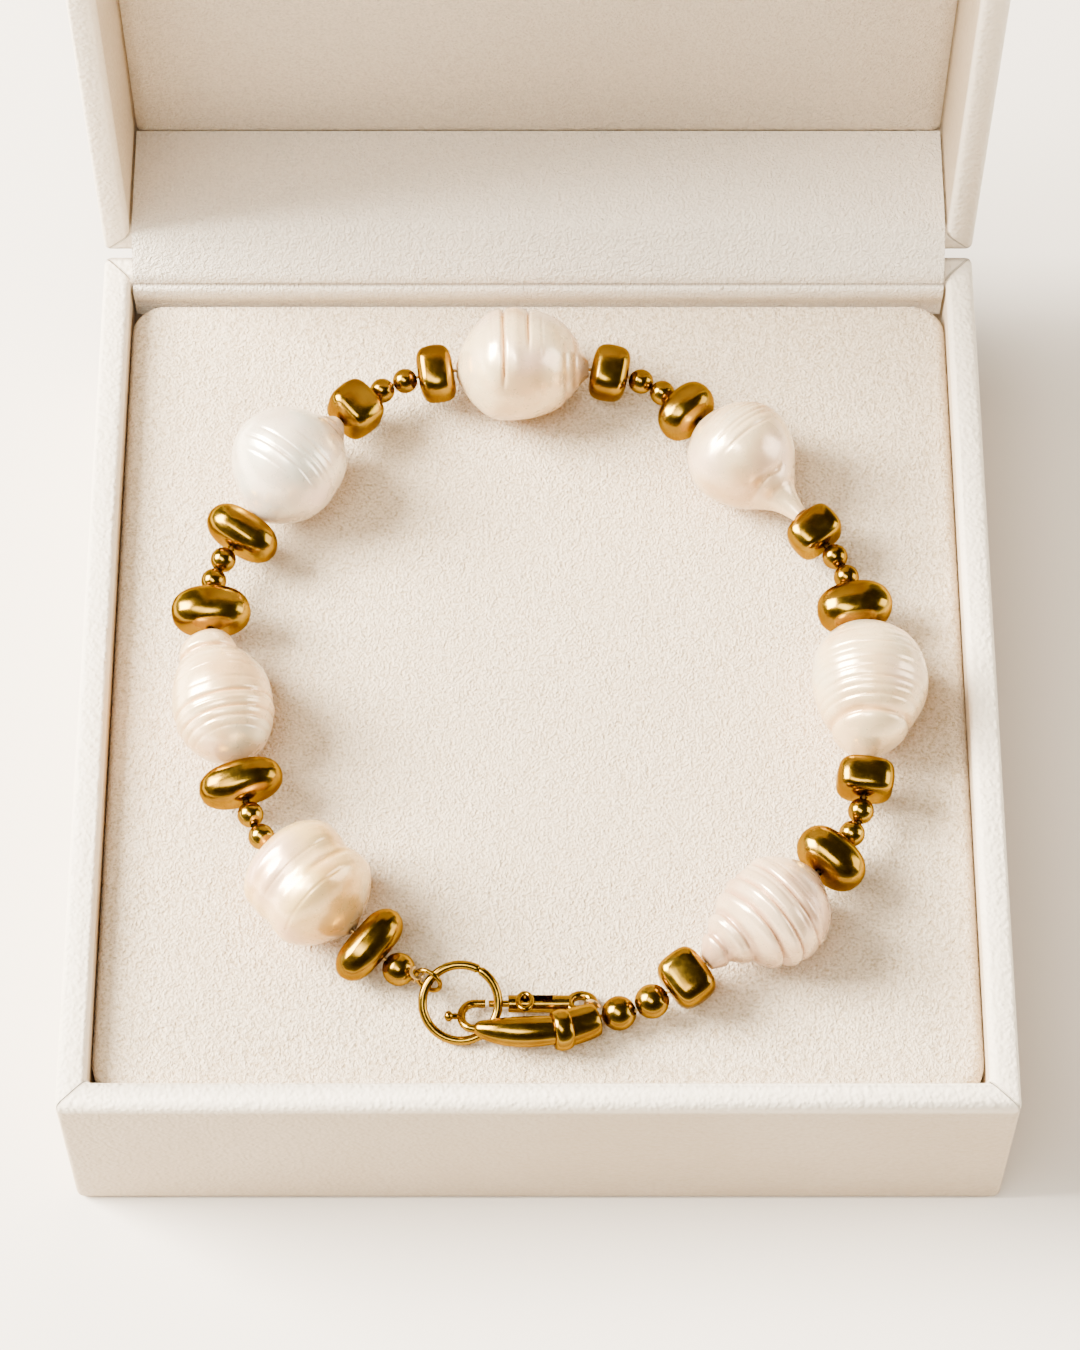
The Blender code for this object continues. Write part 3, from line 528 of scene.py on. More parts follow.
# The string's route over the pad, from the clasp's tail to the small ring, through chosen points.
# Each has its place to the right of the middle, behind the loop's front and over the pad, all as
# shares of a pearl's size. The beads lie along its straight stretches.
STRING_ROUTE = [
    (0.5259, 0.3677, 0.130),
    (0.6605, 0.3337, 0.183),
    (0.9227, 0.4250, 0.235),
    (1.1739, 0.6061, 0.313),
    (1.9221, 1.1201, 0.452),
    (2.3666, 1.6250, 0.365),
    (2.6264, 1.9547, 0.330),
    (2.7094, 2.3442, 0.365),
    (2.7650, 3.1248, 0.452),
    (2.6930, 4.0017, 0.365),
    (2.5959, 4.4377, 0.330),
    (2.3815, 4.7574, 0.365),
    (1.7546, 5.4666, 0.452),
    (1.2866, 5.9906, 0.365),
    (0.9869, 6.2771, 0.330),
    (0.6206, 6.4067, 0.365),
    (-0.1456, 6.3901, 0.452),
    (-0.9110, 6.3884, 0.365),
    (-1.2780, 6.2771, 0.330),
    (-1.5981, 6.0255, 0.365),
    (-2.1569, 5.3379, 0.452),
    (-2.5364, 4.7458, 0.365),
    (-2.7438, 4.4070, 0.330),
    (-2.7908, 3.9677, 0.365),
    (-2.6303, 3.0683, 0.452),
    (-2.4511, 2.3076, 0.365),
    (-2.3040, 1.8941, 0.330),
    (-1.8000, 1.2987, 0.452),
    (-1.3782, 0.9075, 0.313),
    (-1.0307, 0.6808, 0.157),
]

# length, width and height are shares of the nominal size.
Bead = namedtuple("Bead", "name kind length width height")

STRING = [
    Bead("large_round_1", "large_round", 1.00, 1.00, 1.00),
    Bead("large_round_2", "large_round", 1.00, 1.00, 1.00),
    Bead("nugget_01", "cube", 0.568, 0.72, 0.70),
    Bead("pearl_1", "spiral", 1.209, 0.90, 0.90),
    Bead("nugget_02", "pebble", 0.554, 0.97, 0.70),
    Bead("small_round_01", "small_round", 1.00, 1.00, 1.00),
    Bead("small_round_02", "small_round", 1.00, 1.00, 1.00),
    Bead("nugget_03", "cube", 0.507, 0.74, 0.70),
    Bead("pearl_2", "ringed_egg", 1.261, 0.97, 0.97),
    Bead("nugget_04", "pebble", 0.595, 1.00, 0.70),
    Bead("small_round_03", "small_round", 1.00, 1.00, 1.00),
    Bead("small_round_04", "small_round", 1.00, 1.00, 1.00),
    Bead("nugget_05", "cube", 0.514, 0.70, 0.66),
    Bead("pearl_3", "teardrop", 1.261, 0.95, 0.95),
    Bead("nugget_06", "pebble", 0.520, 0.86, 0.70),
    Bead("small_round_05", "small_round", 1.00, 1.00, 1.00),
    Bead("small_round_06", "small_round", 1.00, 1.00, 1.00),
    Bead("nugget_07", "cube", 0.507, 0.72, 0.73),
    Bead("pearl_4", "nosed", 1.165, 1.00, 1.00),
    Bead("nugget_08", "cube", 0.486, 0.74, 0.73),
    Bead("small_round_07", "small_round", 1.00, 1.00, 1.00),
    Bead("small_round_08", "small_round", 1.00, 1.00, 1.00),
    Bead("nugget_09", "cube", 0.581, 0.70, 0.68),
    Bead("pearl_5", "near_round", 1.183, 0.99, 0.99),
    Bead("nugget_10", "pebble", 0.527, 1.03, 0.70),
    Bead("small_round_09", "small_round", 1.00, 1.00, 1.00),
    Bead("small_round_10", "small_round", 1.00, 1.00, 1.00),
    Bead("nugget_11", "pebble", 0.595, 1.04, 0.70),
    Bead("pearl_6", "capped", 1.278, 0.86, 0.86),
    Bead("nugget_12", "pebble", 0.527, 1.10, 0.70),
    Bead("small_round_11", "small_round", 1.00, 1.00, 1.00),
    Bead("small_round_12", "small_round", 1.00, 1.00, 1.00),
    Bead("pearl_7", "potato", 1.035, 0.97, 0.97),
    Bead("nugget_13", "pebble", 0.500, 1.08, 0.70),
    Bead("large_round_3", "large_round", 0.96, 0.96, 0.96),
]

NOMINAL = {
    "small_round": SMALL_ROUND,
    "large_round": LARGE_ROUND,
    "cube": NUGGET_SIZE,
    "pebble": NUGGET_SIZE,
}


def bead_size(bead):
    """Length from mouth to mouth of its bore, width and height."""
    size = Vector((bead.length, bead.width, bead.height)) * NOMINAL.get(bead.kind, PEARL_SIZE)
    if bead.kind in ("small_round", "large_round"):
        size.x = math.sqrt(size.x**2 - BORE**2)
    return size


def next_along(route, start, stretch, length):
    """The first point of the route after start, on this stretch or a later one, that is length away."""
    corner = start
    while stretch < len(route) - 1:
        step = (route[stretch + 1] - corner) / ROUTE_STEPS
        for count in range(1, ROUTE_STEPS + 1):
            point = corner + step * count
            if (point - start).length >= length:
                return start + (point - start).normalized() * length, stretch
        stretch += 1
        corner = route[stretch]
    onward = (route[-1] - route[-2]).normalized()
    return start + onward * length, stretch - 1


def walk(route):
    """Both mouths of each bead's bore, laid end to end along the route."""
    point, stretch = route[0], 0
    mouths = []
    for bead in STRING:
        start = point
        stop, stretch = next_along(route, start, stretch, bead_size(bead).x)
        mouths.append((start, stop))
        point, stretch = next_along(route, stop, stretch, BEAD_GAP)
    return mouths


def bead_places():
    """Each bead's turn and place: the route is grown until the beads just fill it."""
    route = [Vector((0, LOOP_FRONT, 0)) + PEARL_SIZE * Vector(point) for point in STRING_ROUTE]
    whole = sum((b - a).length for a, b in zip(route, route[1:]))
    for _ in range(6):
        mouths = walk(route)
        onward = (route[-1] - route[-2]).normalized()
        growth = 1 + (mouths[-1][1] - route[-1]).dot(onward) / whole
        route = [Vector((point.x * growth, point.y * growth, point.z)) for point in route]
    places = {}
    for bead, (start, stop) in zip(STRING, mouths):
        x = (stop - start).normalized()
        y = Vector((0, 0, 1)).cross(x).normalized()
        turn = Matrix((x, y, x.cross(y))).transposed().to_4x4()
        places[bead.name] = Matrix.Translation((start + stop) / 2 + Vector((0, 0, PAD_TOP))) @ turn
    return places


places = bead_places()


# The pearls: seven baroque freshwater pearls with a drilled bore, each of its own shape. They are
# turned from their outline, then grooved and dimpled as nacre grows.
PEARL_SIDES = 96
PEARL_RINGS = 140
FURROW_DEPTH = 1.6
# How strongly a furrow's depth is painted as shade.
FOLD_SHADE_STRENGTH = 12.0
BORE_RINGS = 6
SEAT_GAP = 0.0003

# A pearl's outline: how far along each station is, its radius as a share of half the width, and
# how far it leans to the loop's inside.
Station = namedtuple("Station", "along radius lean")

OUTLINES = {
    "spiral": [
        Station(0.000, 0.16, 0.00),
        Station(0.045, 0.26, 0.03),
        Station(0.100, 0.36, 0.06),
        Station(0.150, 0.38, 0.06),
        Station(0.215, 0.52, 0.04),
        Station(0.300, 0.70, -0.06),
        Station(0.385, 0.87, -0.12),
        Station(0.484, 0.97, -0.16),
        Station(0.590, 1.00, -0.17),
        Station(0.730, 0.93, -0.15),
        Station(0.846, 0.72, -0.12),
        Station(0.917, 0.50, -0.06),
        Station(0.967, 0.28, 0.00),
        Station(1.000, 0.12, 0.00),
    ],
    "ringed_egg": [
        Station(0.000, 0.12, 0.00),
        Station(0.035, 0.28, 0.00),
        Station(0.080, 0.46, -0.03),
        Station(0.140, 0.62, -0.05),
        Station(0.210, 0.70, -0.07),
        Station(0.260, 0.80, -0.08),
        Station(0.360, 0.93, -0.10),
        Station(0.500, 1.00, -0.10),
        Station(0.630, 0.98, -0.10),
        Station(0.770, 0.88, -0.08),
        Station(0.880, 0.66, -0.05),
        Station(0.950, 0.42, -0.02),
        Station(0.980, 0.24, 0.00),
        Station(1.000, 0.12, 0.00),
    ],
    "teardrop": [
        Station(0.000, 0.15, 0.00),
        Station(0.080, 0.20, 0.00),
        Station(0.170, 0.30, 0.00),
        Station(0.260, 0.50, 0.00),
        Station(0.360, 0.75, 0.00),
        Station(0.470, 0.92, 0.00),
        Station(0.600, 1.00, 0.00),
        Station(0.730, 0.93, 0.00),
        Station(0.850, 0.72, 0.00),
        Station(0.930, 0.46, 0.00),
        Station(0.975, 0.25, 0.00),
        Station(1.000, 0.12, 0.00),
    ],
    "nosed": [
        Station(0.000, 0.14, 0.00),
        Station(0.045, 0.27, -0.02),
        Station(0.085, 0.43, -0.04),
        Station(0.200, 0.74, 0.00),
        Station(0.330, 0.90, 0.03),
        Station(0.450, 0.97, 0.05),
        Station(0.600, 1.00, 0.05),
        Station(0.740, 0.93, 0.05),
        Station(0.870, 0.68, 0.03),
        Station(0.945, 0.42, 0.00),
        Station(0.980, 0.25, 0.00),
        Station(1.000, 0.12, 0.00),
    ],
    "near_round": [
        Station(0.000, 0.14, 0.00),
        Station(0.060, 0.25, 0.00),
        Station(0.130, 0.42, -0.03),
        Station(0.220, 0.66, -0.05),
        Station(0.330, 0.86, -0.07),
        Station(0.450, 0.96, -0.08),
        Station(0.577, 1.00, -0.08),
        Station(0.720, 0.93, -0.07),
        Station(0.850, 0.70, -0.05),
        Station(0.935, 0.44, -0.02),
        Station(0.975, 0.26, 0.00),
        Station(1.000, 0.12, 0.00),
    ],
    "capped": [
        Station(0.000, 0.12, 0.00),
        Station(0.035, 0.30, -0.05),
        Station(0.090, 0.48, -0.11),
        Station(0.170, 0.58, -0.13),
        Station(0.220, 0.60, -0.12),
        Station(0.260, 0.70, -0.08),
        Station(0.340, 0.84, -0.05),
        Station(0.450, 0.95, -0.03),
        Station(0.580, 1.00, -0.03),
        Station(0.700, 0.97, -0.03),
        Station(0.820, 0.84, -0.02),
        Station(0.910, 0.62, 0.00),
        Station(0.960, 0.40, 0.00),
        Station(0.985, 0.24, 0.00),
        Station(1.000, 0.12, 0.00),
    ],
    "potato": [
        Station(0.000, 0.12, 0.00),
        Station(0.030, 0.28, 0.00),
        Station(0.070, 0.50, 0.00),
        Station(0.140, 0.76, -0.03),
        Station(0.250, 0.94, -0.05),
        Station(0.380, 0.98, -0.05),
        Station(0.500, 0.95, -0.04),
        Station(0.620, 0.98, -0.06),
        Station(0.750, 0.94, -0.05),
        Station(0.860, 0.72, -0.03),
        Station(0.930, 0.44, 0.00),
        Station(0.975, 0.22, 0.00),
        Station(1.000, 0.12, 0.00),
    ],
}

# A furrow runs round a pearl: its place along it, half its width and its depth, all in shares, and
# where it starts and stops, in degrees from the top towards the loop's inside. A ridge has a
# depth below 0.
Furrow = namedtuple("Furrow", "along width depth start stop")

FURROWS = {
    "spiral": [
        Furrow(0.120, 0.022, 0.090, -180, 180),
        Furrow(0.185, 0.024, -0.070, -180, 180),
        Furrow(0.255, 0.018, 0.085, -180, 180),
        Furrow(0.330, 0.030, -0.040, -150, 170),
        Furrow(0.390, 0.014, 0.060, -180, 140),
        Furrow(0.455, 0.022, -0.020, -120, 150),
        Furrow(0.500, 0.011, 0.040, -150, 110),
        Furrow(0.590, 0.009, 0.012, -60, 90),
        Furrow(0.640, 0.010, 0.045, -150, 70),
        Furrow(0.690, 0.020, -0.014, -100, 80),
        Furrow(0.735, 0.008, 0.014, -60, 100),
    ],
    "ringed_egg": [
        Furrow(0.205, 0.016, 0.060, -180, 180),
        Furrow(0.280, 0.008, 0.020, -120, 90),
        Furrow(0.330, 0.008, 0.012, -90, 120),
        Furrow(0.385, 0.008, 0.016, -130, 60),
        Furrow(0.450, 0.008, 0.010, -60, 100),
        Furrow(0.520, 0.008, 0.014, -100, 110),
        Furrow(0.575, 0.008, 0.008, -40, 90),
        Furrow(0.640, 0.008, 0.014, -120, 70),
        Furrow(0.700, 0.008, 0.008, -90, 20),
        Furrow(0.770, 0.008, 0.010, -70, 90),
    ],
    "teardrop": [
        Furrow(0.285, 0.020, 0.055, -20, 80),
        Furrow(0.200, 0.020, 0.035, -60, 60),
        Furrow(0.560, 0.008, 0.020, -35, 30),
        Furrow(0.620, 0.008, 0.014, -80, 10),
        Furrow(0.665, 0.008, 0.018, -100, 30),
        Furrow(0.710, 0.008, 0.012, -110, 5),
        Furrow(0.745, 0.008, 0.020, -120, 20),
        Furrow(0.785, 0.008, 0.014, -100, 30),
        Furrow(0.830, 0.008, 0.016, -110, 10),
        Furrow(0.870, 0.008, 0.012, -90, 20),
    ],
    "nosed": [
        Furrow(0.105, 0.022, 0.060, -30, 120),
        Furrow(0.175, 0.020, 0.035, 0, 130),
        Furrow(0.452, 0.012, 0.036, -95, 12),
        Furrow(0.545, 0.045, -0.014, -100, 40),
        Furrow(0.640, 0.014, 0.042, -100, 52),
        Furrow(0.730, 0.008, 0.006, -70, 10),
        Furrow(0.350, 0.008, 0.006, -60, 20),
    ],
    "near_round": [
        Furrow(0.160, 0.024, 0.055, -70, 40),
        Furrow(0.470, 0.008, 0.010, 10, 80),
        Furrow(0.550, 0.008, 0.012, 20, 95),
        Furrow(0.600, 0.008, 0.010, -30, 70),
        Furrow(0.680, 0.008, 0.016, -40, 60),
        Furrow(0.760, 0.008, 0.010, -60, 30),
    ],
    "capped": [
        Furrow(0.215, 0.018, 0.070, -180, 180),
        Furrow(0.275, 0.008, 0.024, -120, 60),
        Furrow(0.360, 0.008, 0.010, -90, 90),
        Furrow(0.440, 0.008, 0.014, -60, 120),
        Furrow(0.560, 0.008, 0.008, -80, 60),
        Furrow(0.650, 0.010, 0.032, -140, 110),
        Furrow(0.705, 0.010, -0.016, -120, 120),
        Furrow(0.755, 0.009, 0.030, -130, 120),
        Furrow(0.815, 0.010, 0.026, -120, 100),
        Furrow(0.870, 0.008, 0.016, -100, 90),
    ],
    "potato": [
        Furrow(0.330, 0.060, 0.022, -120, -20),
        Furrow(0.520, 0.075, 0.028, 20, 120),
        Furrow(0.600, 0.030, 0.030, -5, 45),
        Furrow(0.450, 0.008, 0.006, -60, 40),
        Furrow(0.740, 0.008, 0.008, -80, 20),
    ],
}

# Nacre by pearl: its body colour, its tint for clouds and for painted shade low on the pearl and in its
# furrows, how strong the tints are, and how wavy.
Nacre = namedtuple("Nacre", "body blush strength wave")

NACRES = {
    "pearl_1": Nacre((0.860, 0.620, 0.380), (0.600, 0.350, 0.200), 0.85, 0.030),
    "pearl_2": Nacre((0.950, 0.710, 0.400), (0.780, 0.490, 0.220), 0.80, 0.014),
    "pearl_3": Nacre((0.960, 0.730, 0.430), (0.770, 0.480, 0.230), 0.80, 0.016),
    "pearl_4": Nacre((0.975, 0.750, 0.430), (0.770, 0.480, 0.220), 0.85, 0.016),
    "pearl_5": Nacre((0.980, 0.840, 0.630), (0.730, 0.540, 0.380), 0.70, 0.014),
    "pearl_6": Nacre((0.960, 0.690, 0.370), (0.780, 0.460, 0.190), 0.80, 0.020),
    "pearl_7": Nacre((0.950, 0.640, 0.250), (0.790, 0.430, 0.090), 0.90, 0.024),
}


def read_outline(outline, share):
    """Radius and lean at a share of the length, on a smooth curve through the stations."""
    points = [Vector(station) for station in outline]
    index = max(i for i in range(len(points) - 1) if points[i].x <= share + 1e-9)
    start, stop = points[index], points[index + 1]
    part = (share - start.x) / (stop.x - start.x)
    before = points[max(index - 1, 0)]
    after = points[min(index + 2, len(points) - 1)]
    span = stop.x - start.x
    slope_in = (stop - before) / max(stop.x - before.x, 1e-6) * span
    slope_out = (after - start) / max(after.x - start.x, 1e-6) * span
    return between(start, stop, slope_in, slope_out, part)


def turned_bead(name, outline, size, sides, rings):
    """A bored bead along X: a ring of points is laid as its section, out along the outline and
    back down the bore, and spun round the bore."""
    count = rings + BORE_RINGS
    bead = primitive(
        name,
        bpy.ops.mesh.primitive_circle_add,
        vertices=count,
        radius=0.01,
        location=(0, 0, 0),
        fill_type="NOTHING",
    )
    half = size.x / 2
    for index, vertex in enumerate(bead.data.vertices):
        if index < rings:
            share = (1 - math.cos(math.pi * index / (rings - 1))) / 2
            share = 0.6 * share + 0.4 * index / (rings - 1)
            station = read_outline(outline, share)
            vertex.co = ((share - 0.5) * size.x, 0, max(station.y * size.z / 2, BORE / 2))
        else:
            share = (index - rings) / (BORE_RINGS - 1)
            vertex.co = (half - share * size.x, 0, BORE / 2)
    select_where(bead, lambda vertex: True, "verts")
    bpy.ops.mesh.spin(steps=sides, angle=math.tau, center=(0, 0, 0), axis=(1, 0, 0), use_auto_merge=True)
    bpy.ops.mesh.select_all(action="SELECT")
    bpy.ops.mesh.remove_doubles(threshold=1e-6)
    bpy.ops.mesh.normals_make_consistent(inside=False)
    bpy.ops.object.mode_set(mode="OBJECT")
    return bead


def window(angle, start, stop, soft=16.0):
    """1 between the two angles and 0 outside them, with soft ends."""
    if stop - start >= 360:
        return 1.0
    rise = min(max((angle - start) / soft + 0.5, 0.0), 1.0)
    fall = min(max((stop - angle) / soft + 0.5, 0.0), 1.0)
    return rise * fall


def grow_nacre(pearl, bead, size, outline, wave, seed):
    """Moves the turned skin out and in by its furrows and slow waves, and leans it by its outline."""
    furrows = FURROWS[bead.kind]
    # Each furrow's depth is kept on the skin for the painted shade in the furrows.
    fold_shades = pearl.data.attributes.new("fold", "FLOAT", "POINT").data
    for vertex in pearl.data.vertices:
        radius = math.hypot(vertex.co.y, vertex.co.z)
        if radius < BORE / 2 * 1.02:
            continue
        share = min(max(vertex.co.x / size.x + 0.5, 0.0), 1.0)
        angle = math.degrees(math.atan2(vertex.co.y, vertex.co.z))
        wander = noise.noise(Vector((share * 3, angle / 70, seed))) * 0.012
        factor = 1.0
        folded = 0.0
        for furrow in furrows:
            off = (share + wander - furrow.along) / furrow.width
            if abs(off) < 3:
                depth = FURROW_DEPTH * furrow.depth * window(angle, furrow.start, furrow.stop)
                factor -= depth * math.exp(-off * off)
                folded += max(depth, 0.0) * math.exp(-off * off)
        fold_shades[vertex.index].value = min(folded * FOLD_SHADE_STRENGTH, 0.8)
        skin = vertex.co / (size.z / 2)
        factor += wave * noise.noise(skin * 1.3 + Vector((seed, 0, 0))) * 2.0
        factor += wave * 0.35 * noise.noise(skin * 3.4 + Vector((0, seed, 0)))
        grown = BORE / 2 + (radius - BORE / 2) * factor
        lean = read_outline(outline, share).z * size.y / 2
        vertex.co.y = vertex.co.y / radius * grown * size.y / size.z + lean
        vertex.co.z = vertex.co.z / radius * grown


def seated(pearl, place, floor):
    """Lifts the skin about the bore until it rests on the pad, leaving the bore's mouths."""
    widest = max(abs(vertex.co.z) for vertex in pearl.data.vertices)
    for _ in range(3):
        rise = floor - min((place @ vertex.co).z for vertex in pearl.data.vertices)
        for vertex in pearl.data.vertices:
            share = max(0.0, math.hypot(vertex.co.y, vertex.co.z) - BORE / 2) / widest
            vertex.co.z += rise * min(1.0, share)


def nacre(name, look, seed):
    """Cream nacre with a deep gloss: soft clouds of its tint, rose and green under a clear coat, with painted
    shade low on the pearl and in its furrows.
    """
    skin = Finish(
        name,
        Metallic=0.30,
        IOR=1.6,
        Specular_IOR_Level=0.7,
        Subsurface_Weight=0.05,
        Subsurface_Radius=(1.0, 0.75, 0.5),
        Subsurface_Scale=0.0012,
        Coat_Weight=0.6,
        Coat_Roughness=0.07,
        Coat_IOR=1.5,
    )
    clouds = skin.noise(170.0, 2.0, 0.5, shift=(seed, 0, 0))
    rose = skin.noise(120.0, 1.0, 0.5, shift=(0, seed, 0))
    green = skin.noise(140.0, 1.0, 0.5, shift=(0, 0, seed))
    tone = skin.mix(skin.step(clouds, 0.40, 0.72) * look.strength, look.body, look.blush)
    tone = skin.mix(skin.step(rose, 0.52, 0.75) * (look.strength * 0.60), tone, (0.88, 0.54, 0.52))
    tone = skin.mix(skin.step(green, 0.56, 0.78) * (look.strength * 0.60), tone, (0.62, 0.72, 0.62))
    # Painted shade and painted reflection of the pad: the pearl's low part, near the pad, takes its darker,
    # warmer tint.
    height = skin.node("ShaderNodeSeparateXYZ", {}, {"Vector": skin.place()}, 2)
    tone = skin.mix((1.0 - skin.step(height, PAD_TOP + 0.0015, PAD_TOP + 0.0075)) * 0.7, tone, look.blush)
    # Painted shade: the furrows take the darker tint by their depth.
    fold = skin.node("ShaderNodeAttribute", {"attribute_name": "fold"}, {}, 2)
    skin.feed("Base Color", skin.mix(fold, tone, look.blush))
    film = skin.noise(620.0, 3.0, 0.55, shift=(seed, seed, 0))
    skin.feed("Roughness", skin.step(film, 0.3, 0.75) * 0.10 + 0.24)
    ripple = skin.noise(380.0, 2.0, 0.5, shift=(0, seed, seed))
    skin.bump(ripple * 0.7 + film * 0.3, 0.00010, 0.5)
    return skin


for seed, bead in enumerate(bead for bead in STRING if bead.name in NACRES):
    size, outline, look = bead_size(bead), OUTLINES[bead.kind], NACRES[bead.name]
    pearl = turned_bead(bead.name + "_nacre", outline, size, PEARL_SIDES, PEARL_RINGS)
    grow_nacre(pearl, bead, size, outline, look.wave, seed * 7.3 + 1.0)
    seated(pearl, places[bead.name], PAD_TOP + SEAT_GAP)
    pearl.data.transform(places[bead.name])
    smooth(pearl, 70)
    pearl_nacre = nacre(bead.name.replace("_", " ") + " nacre", look, seed * 0.37 + 0.1)
    dress(pearl, pearl_nacre, "case", "pearl", bead.name)


# The gold nuggets: cast beads, polished and given an antique gold plate. Some are square with
# rounded corners, some are thick discs, and a few keep a pit or a soft dent from the casting.
# They are a little fuller than their solids, which keep a gap, so that they all but touch.
NUGGET_SIDES = 64
NUGGET_RINGS = 40
SNUG = 1.015

NUGGET_OUTLINES = {
    "cube": [
        (0.000, 0.20, 0.0),
        (0.004, 0.46, 0.0),
        (0.030, 0.67, 0.0),
        (0.095, 0.84, 0.0),
        (0.200, 0.945, 0.0),
        (0.350, 0.988, 0.0),
        (0.500, 1.000, 0.0),
        (0.650, 0.988, 0.0),
        (0.800, 0.945, 0.0),
        (0.905, 0.84, 0.0),
        (0.970, 0.67, 0.0),
        (0.996, 0.46, 0.0),
        (1.000, 0.20, 0.0),
    ],
    "pebble": [
        (0.000, 0.18, 0.0),
        (0.005, 0.40, 0.0),
        (0.035, 0.60, 0.0),
        (0.120, 0.785, 0.0),
        (0.270, 0.935, 0.0),
        (0.400, 0.984, 0.0),
        (0.500, 1.000, 0.0),
        (0.600, 0.984, 0.0),
        (0.730, 0.935, 0.0),
        (0.880, 0.785, 0.0),
        (0.965, 0.60, 0.0),
        (0.995, 0.40, 0.0),
        (1.000, 0.18, 0.0),
    ],
}
SQUARENESS = {"cube": 3.4, "pebble": 2.4}
NUGGET_LEAN = 16

# Dents in a nugget's skin: the angle round the bead, the place along it, the reach and the depth,
# the last two as shares of the bead's half height.
DENTS = {
    "nugget_01": [(10, 0.48, 0.62, 0.050)],
    "nugget_03": [(30, 0.50, 0.40, 0.022)],
    "nugget_05": [(-8, 0.42, 0.60, 0.040)],
    "nugget_06": [(24, 0.50, 0.30, 0.018)],
    "nugget_08": [(0, 0.50, 0.50, 0.016)],
    "nugget_12": [(-20, 0.50, 0.40, 0.020)],
}
GOLD = (0.310, 0.185, 0.018)
GOLD_DEEP = (0.195, 0.102, 0.008)
GOLD_EDGE = (0.70, 0.54, 0.26, 1.0)


def polished_gold(name, pits=0.0, shift=0.0):
    """Antique gold plate with a high polish: a little tone, faint wear and, on a cast bead, pits."""
    metal = Finish(name, Metallic=1.0, Specular_IOR_Level=0.5, Specular_Tint=GOLD_EDGE)
    place = (shift, 0, 0)
    tone = metal.noise(260.0, 2.0, 0.5, shift=place)
    metal.feed("Base Color", metal.mix(metal.step(tone, 0.35, 0.70), GOLD, GOLD_DEEP))
    wear = metal.noise(1500.0, 3.0, 0.6, shift=place)
    metal.feed("Roughness", metal.step(wear, 0.35, 0.80) * 0.08 + 0.17)
    ripple = metal.noise(330.0, 1.0, 0.5, shift=place)
    height = ripple * 0.45
    if pits:
        holes = metal.step(metal.cells(700.0), 0.02, 0.16)
        spots = metal.step(metal.noise(210.0, 0.0, 0.5, shift=place), 0.60, 0.64)
        height = height + (1.0 - (1.0 - holes) * spots) * pits
    metal.bump(height, 0.00005, 0.7)
    return metal


def press_dents(nugget, dents, size):
    half = size.z / 2
    for angle, share, reach, depth in dents:
        turn = math.radians(angle)
        centre = Vector(((share - 0.5) * size.x, math.sin(turn) * size.y / 2, math.cos(turn) * half))
        for vertex in nugget.data.vertices:
            off = (vertex.co - centre).length / (reach * half)
            if off < 2.5:
                vertex.co -= centre.normalized() * depth * half * math.exp(-off * off)


for seed, bead in enumerate(bead for bead in STRING if bead.name.startswith("nugget")):
    size = bead_size(bead) * SNUG
    power = SQUARENESS[bead.kind]
    nugget = turned_bead(bead.name + "_gold", NUGGET_OUTLINES[bead.kind], size, NUGGET_SIDES, NUGGET_RINGS)
    for vertex in nugget.data.vertices:
        radius = math.hypot(vertex.co.y, vertex.co.z)
        if radius > BORE / 2 * 1.02:
            side, rise = vertex.co.y / radius, vertex.co.z / radius
            squared = (abs(side) ** power + abs(rise) ** power) ** (-1 / power)
            wave = 1 + 0.018 * noise.noise(vertex.co * 420 + Vector((seed * 5.1, 0, 0)))
            vertex.co.y *= squared * wave * size.y / size.z
            vertex.co.z *= squared * wave
    press_dents(nugget, DENTS.get(bead.name, []), size)
    lean = NUGGET_LEAN * places[bead.name].col[1].y
    nugget.data.transform(places[bead.name] @ Matrix.Rotation(math.radians(lean), 4, "X"))
    smooth(nugget, 60)
    finish = polished_gold(bead.name.replace("_", " ") + " gold", 0.0 if seed % 2 else 0.8, seed * 0.21)
    dress(nugget, finish, "case", "polished_gold", bead.name)


# The round gold beads: small ones in pairs between the nuggets, and three larger ones by the clasp.
# They too are a little fuller than their solids, and stop just short of each other.
ROUND_SIDES = 40
ROUND_RINGS = 26
ROUND_STEPS = 14
ROUND_SNUG = 1.03

round_gold = polished_gold("round bead gold")
for bead in STRING:
    if bead.kind in ("small_round", "large_round"):
        size = bead_size(bead) * ROUND_SNUG
        half, full = size.x / 2, bead.width * NOMINAL[bead.kind] * ROUND_SNUG / 2
        outline = []
        for step in range(ROUND_STEPS + 1):
            along = -half * math.cos(math.pi * step / ROUND_STEPS)
            outline.append((along / size.x + 0.5, math.sqrt(max(full**2 - along**2, 0.0)) / full, 0.0))
        ball = turned_bead(bead.name + "_gold", outline, size, ROUND_SIDES, ROUND_RINGS)
        ball.data.transform(places[bead.name])
        smooth(ball, 60)
        dress(ball, round_gold, "case", "polished_gold", bead.name)


# The jump rings: round wire bent to a ring, with its two ends pushed together. The large one is
# what the clasp takes, and the small one holds the string to it.
RING_PLACE = Vector((-0.0073206, -0.0368171, PAD_TOP + 0.00232))
RING_TILT = math.radians(27.2)
RING_HOLD = math.radians(145)
LARGE_RING = 0.0080
LARGE_RING_WIRE = 0.00086
SMALL_RING = 0.0030
SMALL_RING_WIRE = 0.00045
RING_CUT = 0.00012


